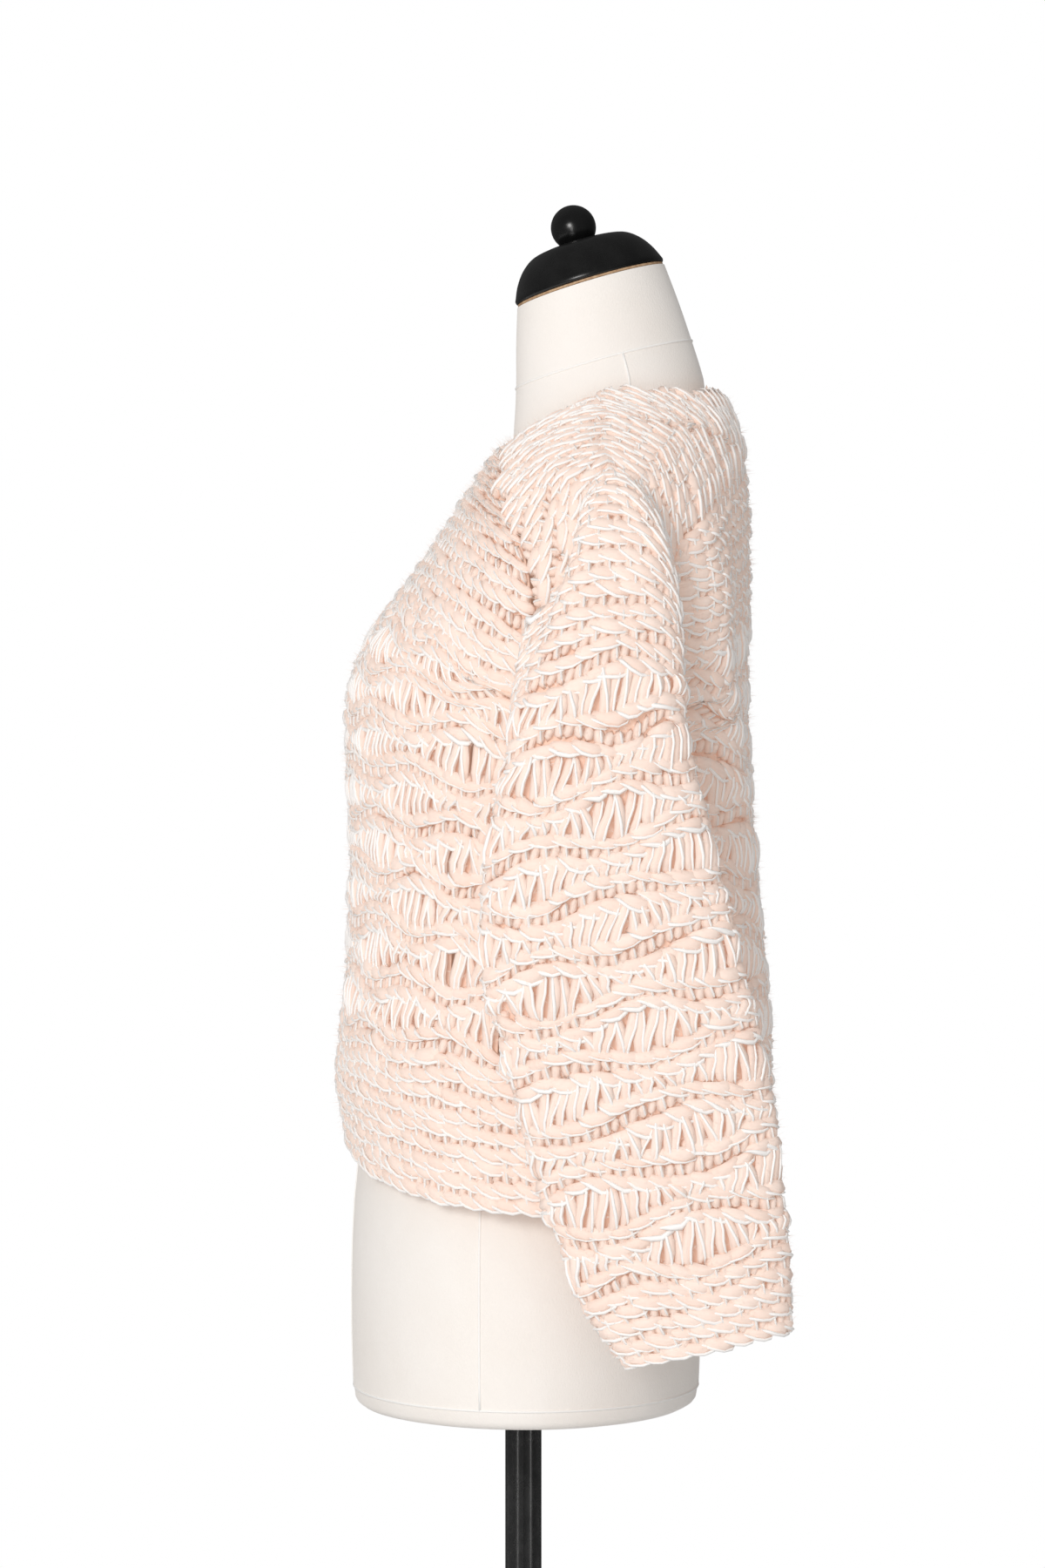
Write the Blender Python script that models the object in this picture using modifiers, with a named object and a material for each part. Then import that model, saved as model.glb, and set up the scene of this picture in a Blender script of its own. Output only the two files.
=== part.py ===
"""A chunky hand-knit sweater on a limbless dress form, in metres.

+Z is up, +X is the wearer's left and -Y the front. The origin is the centre of the stand's underside.
The sweater's outer surface is given by level sections of the body and by rings of the sleeve. Each
panel is a wall between that surface and a plain one inside it, and its ridges are raised outside.
"""
import math

import bmesh
import bpy
import numpy as np
from mathutils import Matrix

# Driving dimensions
WALL = 0.0065             # the knitted cloth, from its mean outer surface to its plain inside
RIDGE = 0.0016            # how far a ridge rises above the mean surface, and a groove sinks below it
LENS_DEPTH = 0.0030       # how far a window of dropped stitches sinks
WAVE = 0.0047             # how far the ridges wave up and down round the windows
SEAM = 0.00020            # each panel keeps this back from its seam lines
FORM_CLEAR = 0.0091       # from the sweater's mean outer surface to the form's shoulders
PLAIN_COURSE = 0.0101     # height of a plain course of knitting
PANEL_COLUMNS = 12        # columns across the front or back panel
COARSE = 4                # rows outside for each row of the plain inside
YOKE_COARSE = 3           # the same for a yoke
NECK_FRONT = 1.386        # height of the neckline at the front centre
NECK_SIDE = 1.424         # height of the neckline at the side and back
HEM_FRONT = 0.915
HEM_SIDE = 0.879
HEM_BACK = 0.872
BACK_TOP = 1.378          # height where the two yokes' diagonal seams meet at the centre back
UNDERARM = 1.190
SLEEVE_TILT = 0.235       # rise of a sleeve's courses toward the back, per metre
SLEEVE_COLUMNS = 12       # one for each knot of the armhole
MITRE = 0.7               # how far the armhole's edge leans from the body's normal toward the sleeve's
RIM_STEPS = 4             # steps round a sleeve's armhole edge for each of its columns
YOKE_LENGTH_STEPS = 20    # steps along a yoke's ridges
YOKE_RIDGES = 12
SPINE_ROWS = 6            # yoke rows that end on the short seam at the centre back
FORM_COLUMNS = 24
CAP_TILT = math.radians(16.48)
CAP_CENTRE = (0.0, 0.0465, 1.4974)
CAP_RADIUS = 0.0530
POLE_RADIUS = 0.0125
FLUTE_DEPTH = 0.0011
FLUTES = 12
FORM_BOTTOM = 0.730
BASE_RADIUS = 0.190
BASE_RISE = 0.034
REST_GAP = 0.0003

# Level sections of the sweater's body: height, front y, half width, y of the sides, back y
BODY = np.array([
    (0.860, -0.116, 0.196, 0.024, 0.171),
    (0.915, -0.120, 0.196, 0.024, 0.171),
    (0.950, -0.126, 0.196, 0.024, 0.169),
    (0.987, -0.124, 0.196, 0.025, 0.167),
    (1.023, -0.120, 0.196, 0.026, 0.164),
    (1.065, -0.118, 0.197, 0.027, 0.160),
    (1.125, -0.117, 0.197, 0.031, 0.156),
    (1.185, -0.120, 0.199, 0.037, 0.153),
    (1.221, -0.118, 0.202, 0.041, 0.152),
    (1.246, -0.110, 0.204, 0.044, 0.152),
    (1.269, -0.096, 0.204, 0.046, 0.153),
    (1.292, -0.079, 0.204, 0.048, 0.153),
    (1.317, -0.061, 0.202, 0.050, 0.153),
    (1.341, -0.045, 0.197, 0.052, 0.153),
    (1.355, -0.036, 0.190, 0.053, 0.152),
    (1.370, -0.026, 0.172, 0.054, 0.151),
    (1.386, -0.015, 0.145, 0.054, 0.149),
    (1.400, -0.003, 0.118, 0.055, 0.146),
    (1.412, +0.007, 0.096, 0.055, 0.142),
    (1.424, +0.016, 0.075, 0.055, 0.138),
    (1.440, +0.026, 0.050, 0.055, 0.130),
])

# Seam between the front panel and a yoke, from the neck down to the armhole: y, z
FRONT_SEAM = [(-0.009, 1.3880), (-0.016, 1.362), (-0.014, 1.338), (-0.004, 1.312),
              (0.002, 1.285), (0.003, 1.250), (0.002, 1.214)]
# Seam between the back panel and a yoke, from the armhole up to the centre back: degrees round, z
BACK_SEAM = [(115.7, 1.302), (123.0, 1.319), (133.0, 1.336), (144.0, 1.353),
             (156.0, 1.366), (168.0, 1.375), (180.0, BACK_TOP)]
# The armhole, from the underarm forward, over the shoulder and back: y, z, and the degrees round the
# sleeve (0 next to the body, 90 at its front edge, 180 outside, 270 at its back edge)
ARMHOLE = [(0.0375, UNDERARM, 0), (0.022, 1.199, 38), (0.002, 1.214, 66), (0.025, 1.236, 90),
           (0.046, 1.257, 112), (0.042, 1.300, 134), (0.041, 1.342, 157), (0.056, 1.362, 182),
           (0.078, 1.350, 210), (0.094, 1.302, 246), (0.092, 1.250, 284), (0.075, 1.207, 322)]
FRONT_END, YOKE_FRONT, YOKE_BACK = 2, 4, 9    # armhole knots where panels change

# The sleeve's bend, from the armhole to the level of the underarm: share, outer x and z, inner x and z
BEND = np.array([
    (0.0, 0.1900, 1.3620, 0.1990, 1.1900),
    (0.2, 0.2190, 1.3430, 0.2012, 1.1885),
    (0.4, 0.2360, 1.3130, 0.2032, 1.1865),
    (0.6, 0.2460, 1.2730, 0.2050, 1.1840),
    (0.8, 0.2525, 1.2280, 0.2064, 1.1812),
    (1.0, 0.2570, 1.1785, 0.2075, 1.1785),
])
# The hanging sleeve: height, front y, back y, x next to the body, thickness across
HANG = np.array([
    (1.1785, -0.010, 0.103, 0.2075, 0.0495),
    (1.138, -0.021, 0.112, 0.2075, 0.0490),
    (1.088, -0.026, 0.124, 0.2070, 0.0480),
    (1.042, -0.024, 0.135, 0.2065, 0.0470),
    (0.997, -0.012, 0.146, 0.2060, 0.0450),
    (0.952, 0.000, 0.156, 0.2060, 0.0430),
    (0.907, 0.012, 0.163, 0.2060, 0.0410),
    (0.861, 0.028, 0.168, 0.2060, 0.0390),
    (0.826, 0.045, 0.171, 0.2060, 0.0380),
    (0.795, 0.064, 0.172, 0.2060, 0.0370),
])
BEND_COURSES = 16

# Level sections of the form below the shoulders: height, front y, half width, y of the sides, back y
FORM = np.array([
    (0.7300, -0.106, 0.157, 0.002, 0.105),
    (0.7322, -0.113, 0.163, 0.002, 0.115),
    (0.7430, -0.1165, 0.1665, 0.002, 0.120),
    (0.8000, -0.118, 0.168, 0.002, 0.121),
    (0.8700, -0.116, 0.167, 0.002, 0.121),
    (0.9400, -0.107, 0.155, 0.004, 0.118),
    (1.0100, -0.094, 0.136, 0.006, 0.110),
    (1.0700, -0.088, 0.126, 0.010, 0.106),
    (1.1300, -0.095, 0.131, 0.016, 0.116),
    (1.1900, -0.108, 0.143, 0.024, 0.130),
    (1.2300, -0.100, 0.152, 0.032, 0.138),
    (1.2680, -0.084, 0.166, 0.040, 0.142),
])
# Rings of the form over its shoulders, on the sweater's own surface moved in: front, side and back z
FORM_SHOULDERS = [(1.300, 1.305, 1.310), (1.324, 1.332, 1.338), (1.342, 1.352, 1.360),
                  (1.356, 1.369, 1.380), (1.366, 1.387, 1.396), (1.373, 1.403, 1.409)]
# Rings of its neck: front y and z, half width, side z, back y and z
FORM_NECK = [(-0.0080, 1.384, 0.0695, 1.4130, 0.1260, 1.418),
             (-0.0065, 1.399, 0.0635, 1.4280, 0.1240, 1.434),
             (-0.0050, 1.427, 0.0580, 1.4440, 0.1160, 1.460),
             (-0.0050, 1.455, 0.0550, 1.4710, 0.1070, 1.4865),
             (-0.0042, 1.4824, 0.0525, 1.4974, 0.0972, 1.5124)]

# Rows of a panel beside each stretch of its side edge, from the top
FRONT_SEAM_STEPS = 7
SIDE_STEPS = 13
FRONT_EDGE_ROWS = [4] * (FRONT_SEAM_STEPS + 2 + SIDE_STEPS)
BACK_EDGE_ROWS = [16, 12, 8] + [4] * SIDE_STEPS

# Courses of each panel from the top: how many plain ones, how many repeats of six with their
# windows, and how many plain ones below
PANEL_COURSES = {"front": (12, 4, 8), "back": (12, 4, 8), "sleeve": (14, 5, 6)}
LENS_COURSE, THIN_COURSE = 0.026, 0.0035

# Eyes between dropped stitches that are open right through the front panel: course, columns from the
# middle, width and height. Each is on both sides.
EYES = [(18, 4.20, 0.0065, 0.019), (24, 3.85, 0.0070, 0.020),
        (30, 3.95, 0.0065, 0.018), (33, 4.90, 0.0060, 0.017)]

COLOURS = {
    "yarn": ((0.90, 0.72, 0.64, 1.0), 0.95, 0.0),
    "cover": ((0.88, 0.85, 0.78, 1.0), 0.85, 0.0),
    "bare_wood": ((0.55, 0.36, 0.20, 1.0), 0.60, 0.0),
    "black_paint": ((0.01, 0.01, 0.01, 1.0), 0.25, 0.0),
}


def smooth_rows(table, at):
    """The table's other columns at this value of its first one, along a smooth curve."""
    keys = table[:, 0] if table[0, 0] < table[-1, 0] else -table[:, 0]
    at = at if table[0, 0] < table[-1, 0] else -at
    values = table[:, 1:]
    slopes = np.gradient(values, keys, axis=0)
    at = min(max(at, keys[0]), keys[-1])
    i = int(min(max(np.searchsorted(keys, at) - 1, 0), len(keys) - 2))
    span = keys[i + 1] - keys[i]
    t = (at - keys[i]) / span
    low = values[i] * (2 * t**3 - 3 * t**2 + 1) + slopes[i] * span * (t**3 - 2 * t**2 + t)
    high = values[i + 1] * (3 * t**2 - 2 * t**3) + slopes[i + 1] * span * (t**3 - t**2)
    return low + high


def body_point(round_at, height):
    """A point of the body's mean outer surface: 0 is the front centre, pi/2 the left side, pi the back."""
    front, half_width, side, back = smooth_rows(BODY, height)
    reach = side - front if math.cos(round_at) > 0 else back - side
    return np.array([half_width * math.sin(round_at), side - reach * math.cos(round_at), height])


def round_of(y, height):
    """How far round the left half of the body a point with this y lies."""
    front, _, side, back = smooth_rows(BODY, height)
    reach = side - front if y < side else back - side
    return math.acos(min(max((side - y) / reach, -1.0), 1.0))


def body_normal(round_at, height):
    step = 1e-3
    across = body_point(round_at + step, height) - body_point(round_at - step, height)
    up = body_point(round_at, height + step) - body_point(round_at, height - step)
    normal = np.cross(across, up)
    return normal / np.linalg.norm(normal)


def wall_pair(round_at, height, rise=0.0):
    """The wall's outer and inner point here."""
    point, normal = body_point(round_at, height), body_normal(round_at, height)
    return np.array([point + normal * rise, point - normal * WALL])


def smooth_step(value):
    value = min(max(value, 0.0), 1.0)
    return value * value * (3 - 2 * value)


def neck_height(round_at):
    """The neckline dips at the front."""
    return NECK_SIDE - (NECK_SIDE - NECK_FRONT) * smooth_step(1 - round_at / (0.5 * math.pi)) ** 0.8


def armhole_knots():
    """Pairs of outer and inner points round the armhole, mitred between the body and the sleeve."""
    middle = np.mean([(y, z) for y, z, _ in ARMHOLE], axis=0)
    points, mitres = [], []
    for y, z, _ in ARMHOLE:
        at = round_of(y, z)
        away = np.array([0.0, *(np.array([y, z]) - middle)])
        points.append(body_point(at, z))
        mitres.append(body_normal(at, z) + MITRE * away / np.linalg.norm(away))
    mitres = np.array(mitres)
    for _ in range(2):
        mitres = (np.roll(mitres, 1, axis=0) + 2 * mitres + np.roll(mitres, -1, axis=0)) / 4
    mitres /= np.linalg.norm(mitres, axis=1, keepdims=True)
    return [np.array([point, point - mitre * WALL * 1.1]) for point, mitre in zip(points, mitres)]


def seam_knots():
    """Every seam as a list of pairs of outer and inner points, which both its panels share."""
    hole = armhole_knots()
    front = [wall_pair(round_of(y, z), z) for y, z in finer(FRONT_SEAM, FRONT_SEAM_STEPS)]
    front[-1] = hole[FRONT_END]
    back = [wall_pair(math.radians(d), z) for d, z in BACK_SEAM]
    back[0] = hole[YOKE_BACK]
    neck, steps = [], YOKE_LENGTH_STEPS - FRONT_SEAM_STEPS
    for i in range(steps + 1):
        start = round_of(*FRONT_SEAM[0])
        at = start + (math.pi - start) * i / steps
        neck.append(wall_pair(at, neck_height(at)))
    neck[0] = front[0]
    spine = [wall_pair(math.pi, BACK_TOP + (NECK_SIDE - BACK_TOP) * i / 2) for i in range(3)]
    spine[0], spine[-1] = back[-1], neck[-1]
    heights = [UNDERARM - (UNDERARM - HEM_SIDE) * i / SIDE_STEPS for i in range(1, SIDE_STEPS + 1)]
    side_seam = [hole[0]] + [wall_pair(0.5 * math.pi, height) for height in heights]
    front_side = front + [hole[1]] + side_seam
    back_side = [hole[9], hole[10], hole[11]] + side_seam
    return {"front": front, "back": back, "neck": neck, "hole": hole, "spine": spine,
            "front_side": edge_line(front_side, FRONT_EDGE_ROWS),
            "back_side": edge_line(back_side, BACK_EDGE_ROWS)}


def edge_line(knots, rows):
    """A pair for each row of a panel, straight between knots, with this many rows to each stretch."""
    line = [knots[0]]
    for start, end, count in zip(knots[:-1], knots[1:], rows):
        line += [start + (end - start) * i / count for i in range(1, count + 1)]
    return line


def finer(points, steps):
    """The same line through the points, as this many equal steps."""
    points = np.array(points)
    lengths = np.concatenate([[0], np.cumsum(np.linalg.norm(np.diff(points, axis=0), axis=1))])
    table = np.column_stack([lengths / lengths[-1], points])
    return [tuple(smooth_rows(table, i / steps)) for i in range(steps + 1)]


def along(knots, share):
    """The pair at this share of the line through the knots, straight between neighbours."""
    place = min(max(share, 0.0), 1.0) * (len(knots) - 1)
    i = min(int(place), len(knots) - 2)
    return knots[i] + (knots[i + 1] - knots[i]) * (place - i)


def course_rows(panel):
    """Two rows for each course: (share of the length, rise, way it waves). A ridge lies between courses."""
    above, repeats, below = PANEL_COURSES[panel]
    middle = 0.5 * (LENS_COURSE + THIN_COURSE)
    kinds = ["plain"] * above + ["a", "plain", "plain", "b", "plain", "plain"] * repeats + ["plain"] * below
    rows, length, wave = [(0.0, 0.0, 0.0)], 0.0, -1
    for place, kind in enumerate(kinds):
        height = PLAIN_COURSE if kind == "plain" else middle
        inside = above <= place < above + 6 * repeats
        rows.append((length + height / 2, -RIDGE, 0.0 if kind != "plain" else wave * inside))
        length += height
        if kind == "a":
            wave = 1
        if kind == "b":
            wave = -1
        rows.append((length, RIDGE, wave * inside))
    rows = np.array(rows)
    rows[:, 0] /= length
    return rows, kinds


def relief(rise, kind, column):
    """A groove in a course of dropped stitches is a deep window in every other column."""
    if kind in ("a", "b") and rise < 0 and (column % 2 == 0) == (kind == "a"):
        return -LENS_DEPTH
    return rise


def panel_wall(name, outer, inner, material):
    """A panel's closed wall between a fine outer grid and an inner one with fewer rows."""
    rows, columns = len(outer), len(outer[0])
    inner_rows = len(inner)
    step = (rows - 1) // (inner_rows - 1)
    points = [p for row in outer for p in row] + [p for row in inner for p in row]
    first_inner = rows * columns

    def out(r, c):
        return r * columns + c

    def ins(r, c):
        return first_inner + r * columns + c

    faces = []
    for c in range(columns - 1):
        for r in range(rows - 1):
            faces.append((out(r, c), out(r, c + 1), out(r + 1, c + 1), out(r + 1, c)))
        for r in range(inner_rows - 1):
            faces.append((ins(r, c), ins(r + 1, c), ins(r + 1, c + 1), ins(r, c + 1)))
        faces.append((out(0, c), ins(0, c), ins(0, c + 1), out(0, c + 1)))
        faces.append((out(rows - 1, c), out(rows - 1, c + 1),
                      ins(inner_rows - 1, c + 1), ins(inner_rows - 1, c)))
    for c in (0, columns - 1):
        for r in range(inner_rows - 1):
            middle = r * step + step // 2
            faces += [(out(i, c), out(i + 1, c), ins(r if i < middle else r + 1, c))
                      for i in range(r * step, (r + 1) * step)]
            faces.append((out(middle, c), ins(r + 1, c), ins(r, c)))
    return closed_mesh(name, points, faces, material)


def closed_mesh(name, points, faces, material):
    """A mesh object whose faces all point out, smooth but for its sharp corners."""
    mesh = bpy.data.meshes.new(name)
    mesh.from_pydata([tuple(p) for p in points], [], faces)
    body = bmesh.new()
    body.from_mesh(mesh)
    bmesh.ops.recalc_face_normals(body, faces=body.faces[:])
    body.to_mesh(mesh)
    body.free()
    mesh.shade_smooth()
    mesh.set_sharp_from_angle(angle=math.radians(50))
    mesh.materials.append(material)
    obj = bpy.data.objects.new(name, mesh)
    parts.objects.link(obj)
    return obj


def tube_wall(name, outer, inner, rim, material):
    """A tube's wall like a panel's, whose first rows are one rim of pairs, RIM_STEPS to a column."""
    columns, last = len(outer[0]), len(outer) - 1
    points = [p for row in outer for p in row] + [p for row in inner for p in row]
    first_inner = len(outer) * columns
    points += [pair[0] for pair in rim] + [pair[1] for pair in rim]
    first_rim = first_inner + len(inner) * columns

    def out(r, c):
        return r * columns + c % columns

    def ins(r, c):
        return first_inner + r * columns + c % columns

    def edge(side, place):
        return first_rim + side * len(rim) + place % len(rim)

    faces = []
    for c in range(columns):
        faces += [(out(r, c), out(r, c + 1), out(r + 1, c + 1), out(r + 1, c)) for r in range(last)]
        faces += [(ins(r, c), ins(r + 1, c), ins(r + 1, c + 1), ins(r, c + 1)) for r in range(len(inner) - 1)]
        end = len(inner) - 1
        faces.append((out(last, c), out(last, c + 1), ins(end, c + 1), ins(end, c)))
        start, middle = c * RIM_STEPS, c * RIM_STEPS + RIM_STEPS // 2
        for i in range(start, start + RIM_STEPS):
            near = c if i < middle else c + 1
            faces.append((edge(0, i), edge(0, i + 1), out(0, near)))
            faces.append((edge(1, i + 1), edge(1, i), ins(0, near)))
            faces.append((edge(0, i + 1), edge(0, i), edge(1, i), edge(1, i + 1)))
        faces.append((edge(0, middle), out(0, c + 1), out(0, c)))
        faces.append((edge(1, middle), ins(0, c), ins(0, c + 1)))
    return closed_mesh(name, points, faces, material)


def keep_back(grid, axis, end):
    """Moves one edge of a grid of points into the panel by the seam's gap."""
    grid = np.moveaxis(grid, axis, 0)
    edge, inside = (0, 1) if end == 0 else (-1, -2)
    way = grid[inside] - grid[edge]
    length = np.linalg.norm(way, axis=-1, keepdims=True)
    grid[edge] += way / length * np.minimum(SEAM, 0.5 * length)


def build_panel(panel, top_height, bottom_centre, centre_angle, spread, material):
    """The front or back panel: rows fall from its middle to its side edges."""
    rows, kinds = course_rows(panel)
    edge_line_of = seams[panel + "_side"]
    half = PANEL_COLUMNS // 2
    outer = np.zeros((len(rows), PANEL_COLUMNS + 1, 3))
    inner = np.zeros_like(outer)
    for r, (share, rise, wave) in enumerate(rows):
        edge = edge_line_of[r]
        edge_angle, edge_height = round_of(edge[0][1], edge[0][2]), edge[0][2]
        middle_height = top_height + (bottom_centre - top_height) * share
        kind = kinds[max((r - 1) // 2, 0)]
        for c in range(-half, half + 1):
            s = abs(c) / half
            fall = spread(s, share)
            angle = centre_angle + (edge_angle - centre_angle) * s
            height = middle_height + (edge_height - middle_height) * fall
            if s < 1:
                height -= wave * WAVE * (-1) ** c
                raised = relief(rise, kind, c) if 0 < r < len(rows) - 1 else 0.0
                pair = wall_pair(angle, height, raised)
            else:
                pair = edge.copy()
            if c < 0:
                pair = pair * np.array([-1, 1, 1])
            outer[r, c + half], inner[r, c + half] = pair
    for grid in (outer, inner):
        keep_back(grid, 1, 0)
        keep_back(grid, 1, 1)
        if panel == "back":
            keep_back(grid, 0, 0)
    return panel_wall(panel, outer, inner[::COARSE], material)


def cut_eyes(panel):
    """Cuts the eyes through the front panel with six-sided prisms along its normals."""
    rows, _ = course_rows("front")
    line = seams["front_side"]
    points, faces = [], []
    for course, columns, width, high in EYES:
        share = rows[2 * course + 1, 0]
        edge = line[2 * course + 1][0]
        s = columns / (PANEL_COLUMNS // 2)
        at = round_of(edge[1], edge[2]) * s
        middle = NECK_FRONT + (HEM_FRONT - NECK_FRONT) * share
        place = middle + (edge[2] - middle) * front_spread(s, share)
        centre, normal = body_point(at, place), body_normal(at, place)
        up = np.array([0.0, 0.0, 1.0]) - normal * normal[2]
        up /= np.linalg.norm(up)
        aside = np.cross(up, normal)
        outline = [(0, 0.5), (0.5, 0.25), (0.5, -0.25), (0, -0.5), (-0.5, -0.25), (-0.5, 0.25)]
        for side in (1, -1):
            first = len(points)
            for depth in (0.010, -0.014):
                for x, y in outline:
                    point = centre + aside * x * width + up * y * high + normal * depth
                    points.append((point[0] * side, point[1], point[2]))
            faces += [tuple(range(first, first + 6)), tuple(range(first + 11, first + 5, -1))]
            faces += [(first + i, first + 6 + i, first + 6 + (i + 1) % 6, first + (i + 1) % 6)
                      for i in range(6)]
    cutter = closed_mesh("eye_cutter", points, faces, panel.data.materials[0])
    parts.objects.unlink(cutter)
    cutters.objects.link(cutter)
    cutter.hide_render = True
    cutter.display_type = "WIRE"
    cut = panel.modifiers.new("eyes", "BOOLEAN")
    cut.operation = "DIFFERENCE"
    cut.object = cutter


def front_spread(s, share):
    return math.sin(0.5 * math.pi * s)


def back_spread(s, share):
    """The first row follows the yoke seam, and lower ones level out."""
    seam_heights = [z for _, z in BACK_SEAM][::-1]
    place = s * (len(seam_heights) - 1)
    i = min(int(place), len(seam_heights) - 2)
    seam_height = seam_heights[i] + (seam_heights[i + 1] - seam_heights[i]) * (place - i)
    first = (BACK_TOP - seam_height) / (BACK_TOP - BACK_SEAM[0][1])
    return first + (math.sin(0.5 * math.pi * s) - first) * smooth_step(share / 0.3)


def build_yoke(material):
    """The left yoke: a Coons patch in angle and height between its four edges."""
    steps, across = YOKE_LENGTH_STEPS, 2 * YOKE_RIDGES
    hole = seams["hole"]
    inner_edge = seams["front"][:0:-1] + seams["neck"]
    outer_edge = [along(hole[YOKE_FRONT:YOKE_BACK + 1], i / steps) for i in range(steps + 1)]
    start_edge = [along(hole[FRONT_END:YOKE_FRONT + 1], j / across) for j in range(across + 1)]
    end_edge = [along(seams["spine"][::-1], j / SPINE_ROWS) for j in range(SPINE_ROWS)]
    end_edge += [along(seams["back"][::-1], j / (across - SPINE_ROWS))
                 for j in range(across - SPINE_ROWS + 1)]

    def chart(pair):
        point = pair[0]
        return np.array([round_of(point[1], point[2]), point[2]])

    chart_in, chart_out = [chart(p) for p in inner_edge], [chart(p) for p in outer_edge]
    chart_start, chart_end = [chart(p) for p in start_edge], [chart(p) for p in end_edge]
    outer = np.zeros((across + 1, steps + 1, 3))
    inner = np.zeros_like(outer)
    for j in range(across + 1):
        for i in range(steps + 1):
            b, a = j / across, i / steps
            if j == 0:
                pair = inner_edge[i]
            elif j == across:
                pair = outer_edge[i]
            elif i == 0:
                pair = start_edge[j]
            elif i == steps:
                pair = end_edge[j]
            else:
                place = (1 - b) * chart_in[i] + b * chart_out[i] + (1 - a) * chart_start[j] + a * chart_end[j]
                place -= (1 - a) * (1 - b) * chart_in[0] + (1 - a) * b * chart_out[0]
                place -= a * (1 - b) * chart_in[-1] + a * b * chart_out[-1]
                width = 0.06 + 0.09 * math.sin(math.pi * a)
                rise = RIDGE * (1 if j % 2 == 0 else -1) * min(1.0, width / (YOKE_RIDGES * PLAIN_COURSE))
                pair = wall_pair(place[0], place[1], rise)
            outer[j, i], inner[j, i] = pair
    for grid in (outer, inner):
        keep_back(grid, 1, 0)
        keep_back(grid, 1, 1)
        keep_back(grid[:, :FRONT_SEAM_STEPS + 1], 0, 0)
        keep_back(grid, 0, 1)
    return panel_wall("yoke_left", outer, inner[::YOKE_COARSE], material)


def sleeve_ring(share_bend, down, column):
    """A point of the left sleeve's mean outer surface, in its bend or, below that, hanging down."""
    _, _, turn = ARMHOLE[column]
    turn = math.radians(turn)
    side = math.copysign(abs(math.sin(turn)) ** 0.85, math.sin(turn))
    width = 0.5 * (1 - math.cos(turn))
    if share_bend < 1:
        out_x, out_z, in_x, in_z = smooth_rows(BEND, share_bend)
        front, back, _, _ = smooth_rows(HANG, HANG[0, 0])
        grown = smooth_step((share_bend - 0.1) / 0.9)
        hole = seams["hole"][column][0]
        width_0 = (hole[2] - UNDERARM) / (BEND[0, 2] - UNDERARM)
        x_0 = hole[0] - (BEND[0, 3] + (BEND[0, 1] - BEND[0, 3]) * width_0)
        y = hole[1] + (0.5 * (front + back) - 0.5 * (back - front) * side - hole[1]) * grown
        share = width_0 + (width - width_0) * grown
        x = in_x + (out_x - in_x) * share + x_0 * (1 - share_bend) ** 2
        z = in_z + (out_z - in_z) * share
        return np.array([x, y, z + SLEEVE_TILT * grown * (y - 0.5 * (front + back))])
    height = HANG[0, 0] + (HANG[-1, 0] - HANG[0, 0]) * down
    front, back, in_x, thick = smooth_rows(HANG, height)
    y = 0.5 * (front + back) - 0.5 * (back - front) * side
    return np.array([in_x + thick * width, y, height + SLEEVE_TILT * (y - 0.5 * (front + back))])


def grid_normals(grid):
    """Normals of a grid whose columns close on themselves, pointing out of the tube."""
    across = np.roll(grid, -1, axis=1) - np.roll(grid, 1, axis=1)
    down = np.gradient(grid, axis=0)
    normals = np.cross(across, down)
    normals /= np.linalg.norm(normals, axis=2, keepdims=True)
    centre = grid.mean(axis=1, keepdims=True)
    return normals if ((grid - centre) * normals).sum() > 0 else -normals


def build_sleeve(material):
    rows, kinds = course_rows("sleeve")
    bend_rows = 2 * BEND_COURSES
    spaced = rows[:, 0]
    bend_share = spaced / spaced[bend_rows]
    hang_share = (spaced - spaced[bend_rows]) / (1 - spaced[bend_rows])
    grid = np.array([[sleeve_ring(bend_share[r], hang_share[r], c) for c in range(SLEEVE_COLUMNS)]
                     for r in range(len(rows))])
    wave_fade = np.array([smooth_step((r - bend_rows) / 8) for r in range(len(rows))])
    for c in range(SLEEVE_COLUMNS):
        grid[:, c, 2] -= rows[:, 2] * WAVE * (-1) ** c * wave_fade
    normals = grid_normals(grid)
    gaps = np.linalg.norm(np.gradient(grid, axis=0), axis=2)
    outer, inner = grid.copy(), grid - normals * WALL
    for r in range(1, len(rows) - 1):
        kind = kinds[(r - 1) // 2]
        for c in range(SLEEVE_COLUMNS):
            rise = relief(rows[r, 1], kind, c)
            outer[r, c] += normals[r, c] * rise * min(1.0, gaps[r, c] / (0.45 * PLAIN_COURSE))
    knots = seams["hole"]
    lean = np.array([pair[1] - pair[0] for pair in knots])
    blend = 2 * COARSE
    for r in range(1, blend):
        mix = smooth_step(r / blend)
        inner[r] = (grid[r] + lean) * (1 - mix) + inner[r] * mix
    rim = []
    for c in range(SLEEVE_COLUMNS):
        n = (c + 1) % SLEEVE_COLUMNS
        for i in range(RIM_STEPS):
            pair = knots[c] + (knots[n] - knots[c]) * i / RIM_STEPS
            way = grid[1, c] + (grid[1, n] - grid[1, c]) * i / RIM_STEPS - pair[0]
            rim.append(pair + way / np.linalg.norm(way) * SEAM)
    return tube_wall("sleeve_left", outer[1:], inner[COARSE::COARSE], rim, material)


def mirrored(obj, name):
    """The same piece on the wearer's right, as its own closed mesh."""
    mesh = obj.data.copy()
    mesh.transform(Matrix.Diagonal((-1, 1, 1, 1)))
    mesh.flip_normals()
    copy = bpy.data.objects.new(name, mesh)
    parts.objects.link(copy)
    return copy


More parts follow.
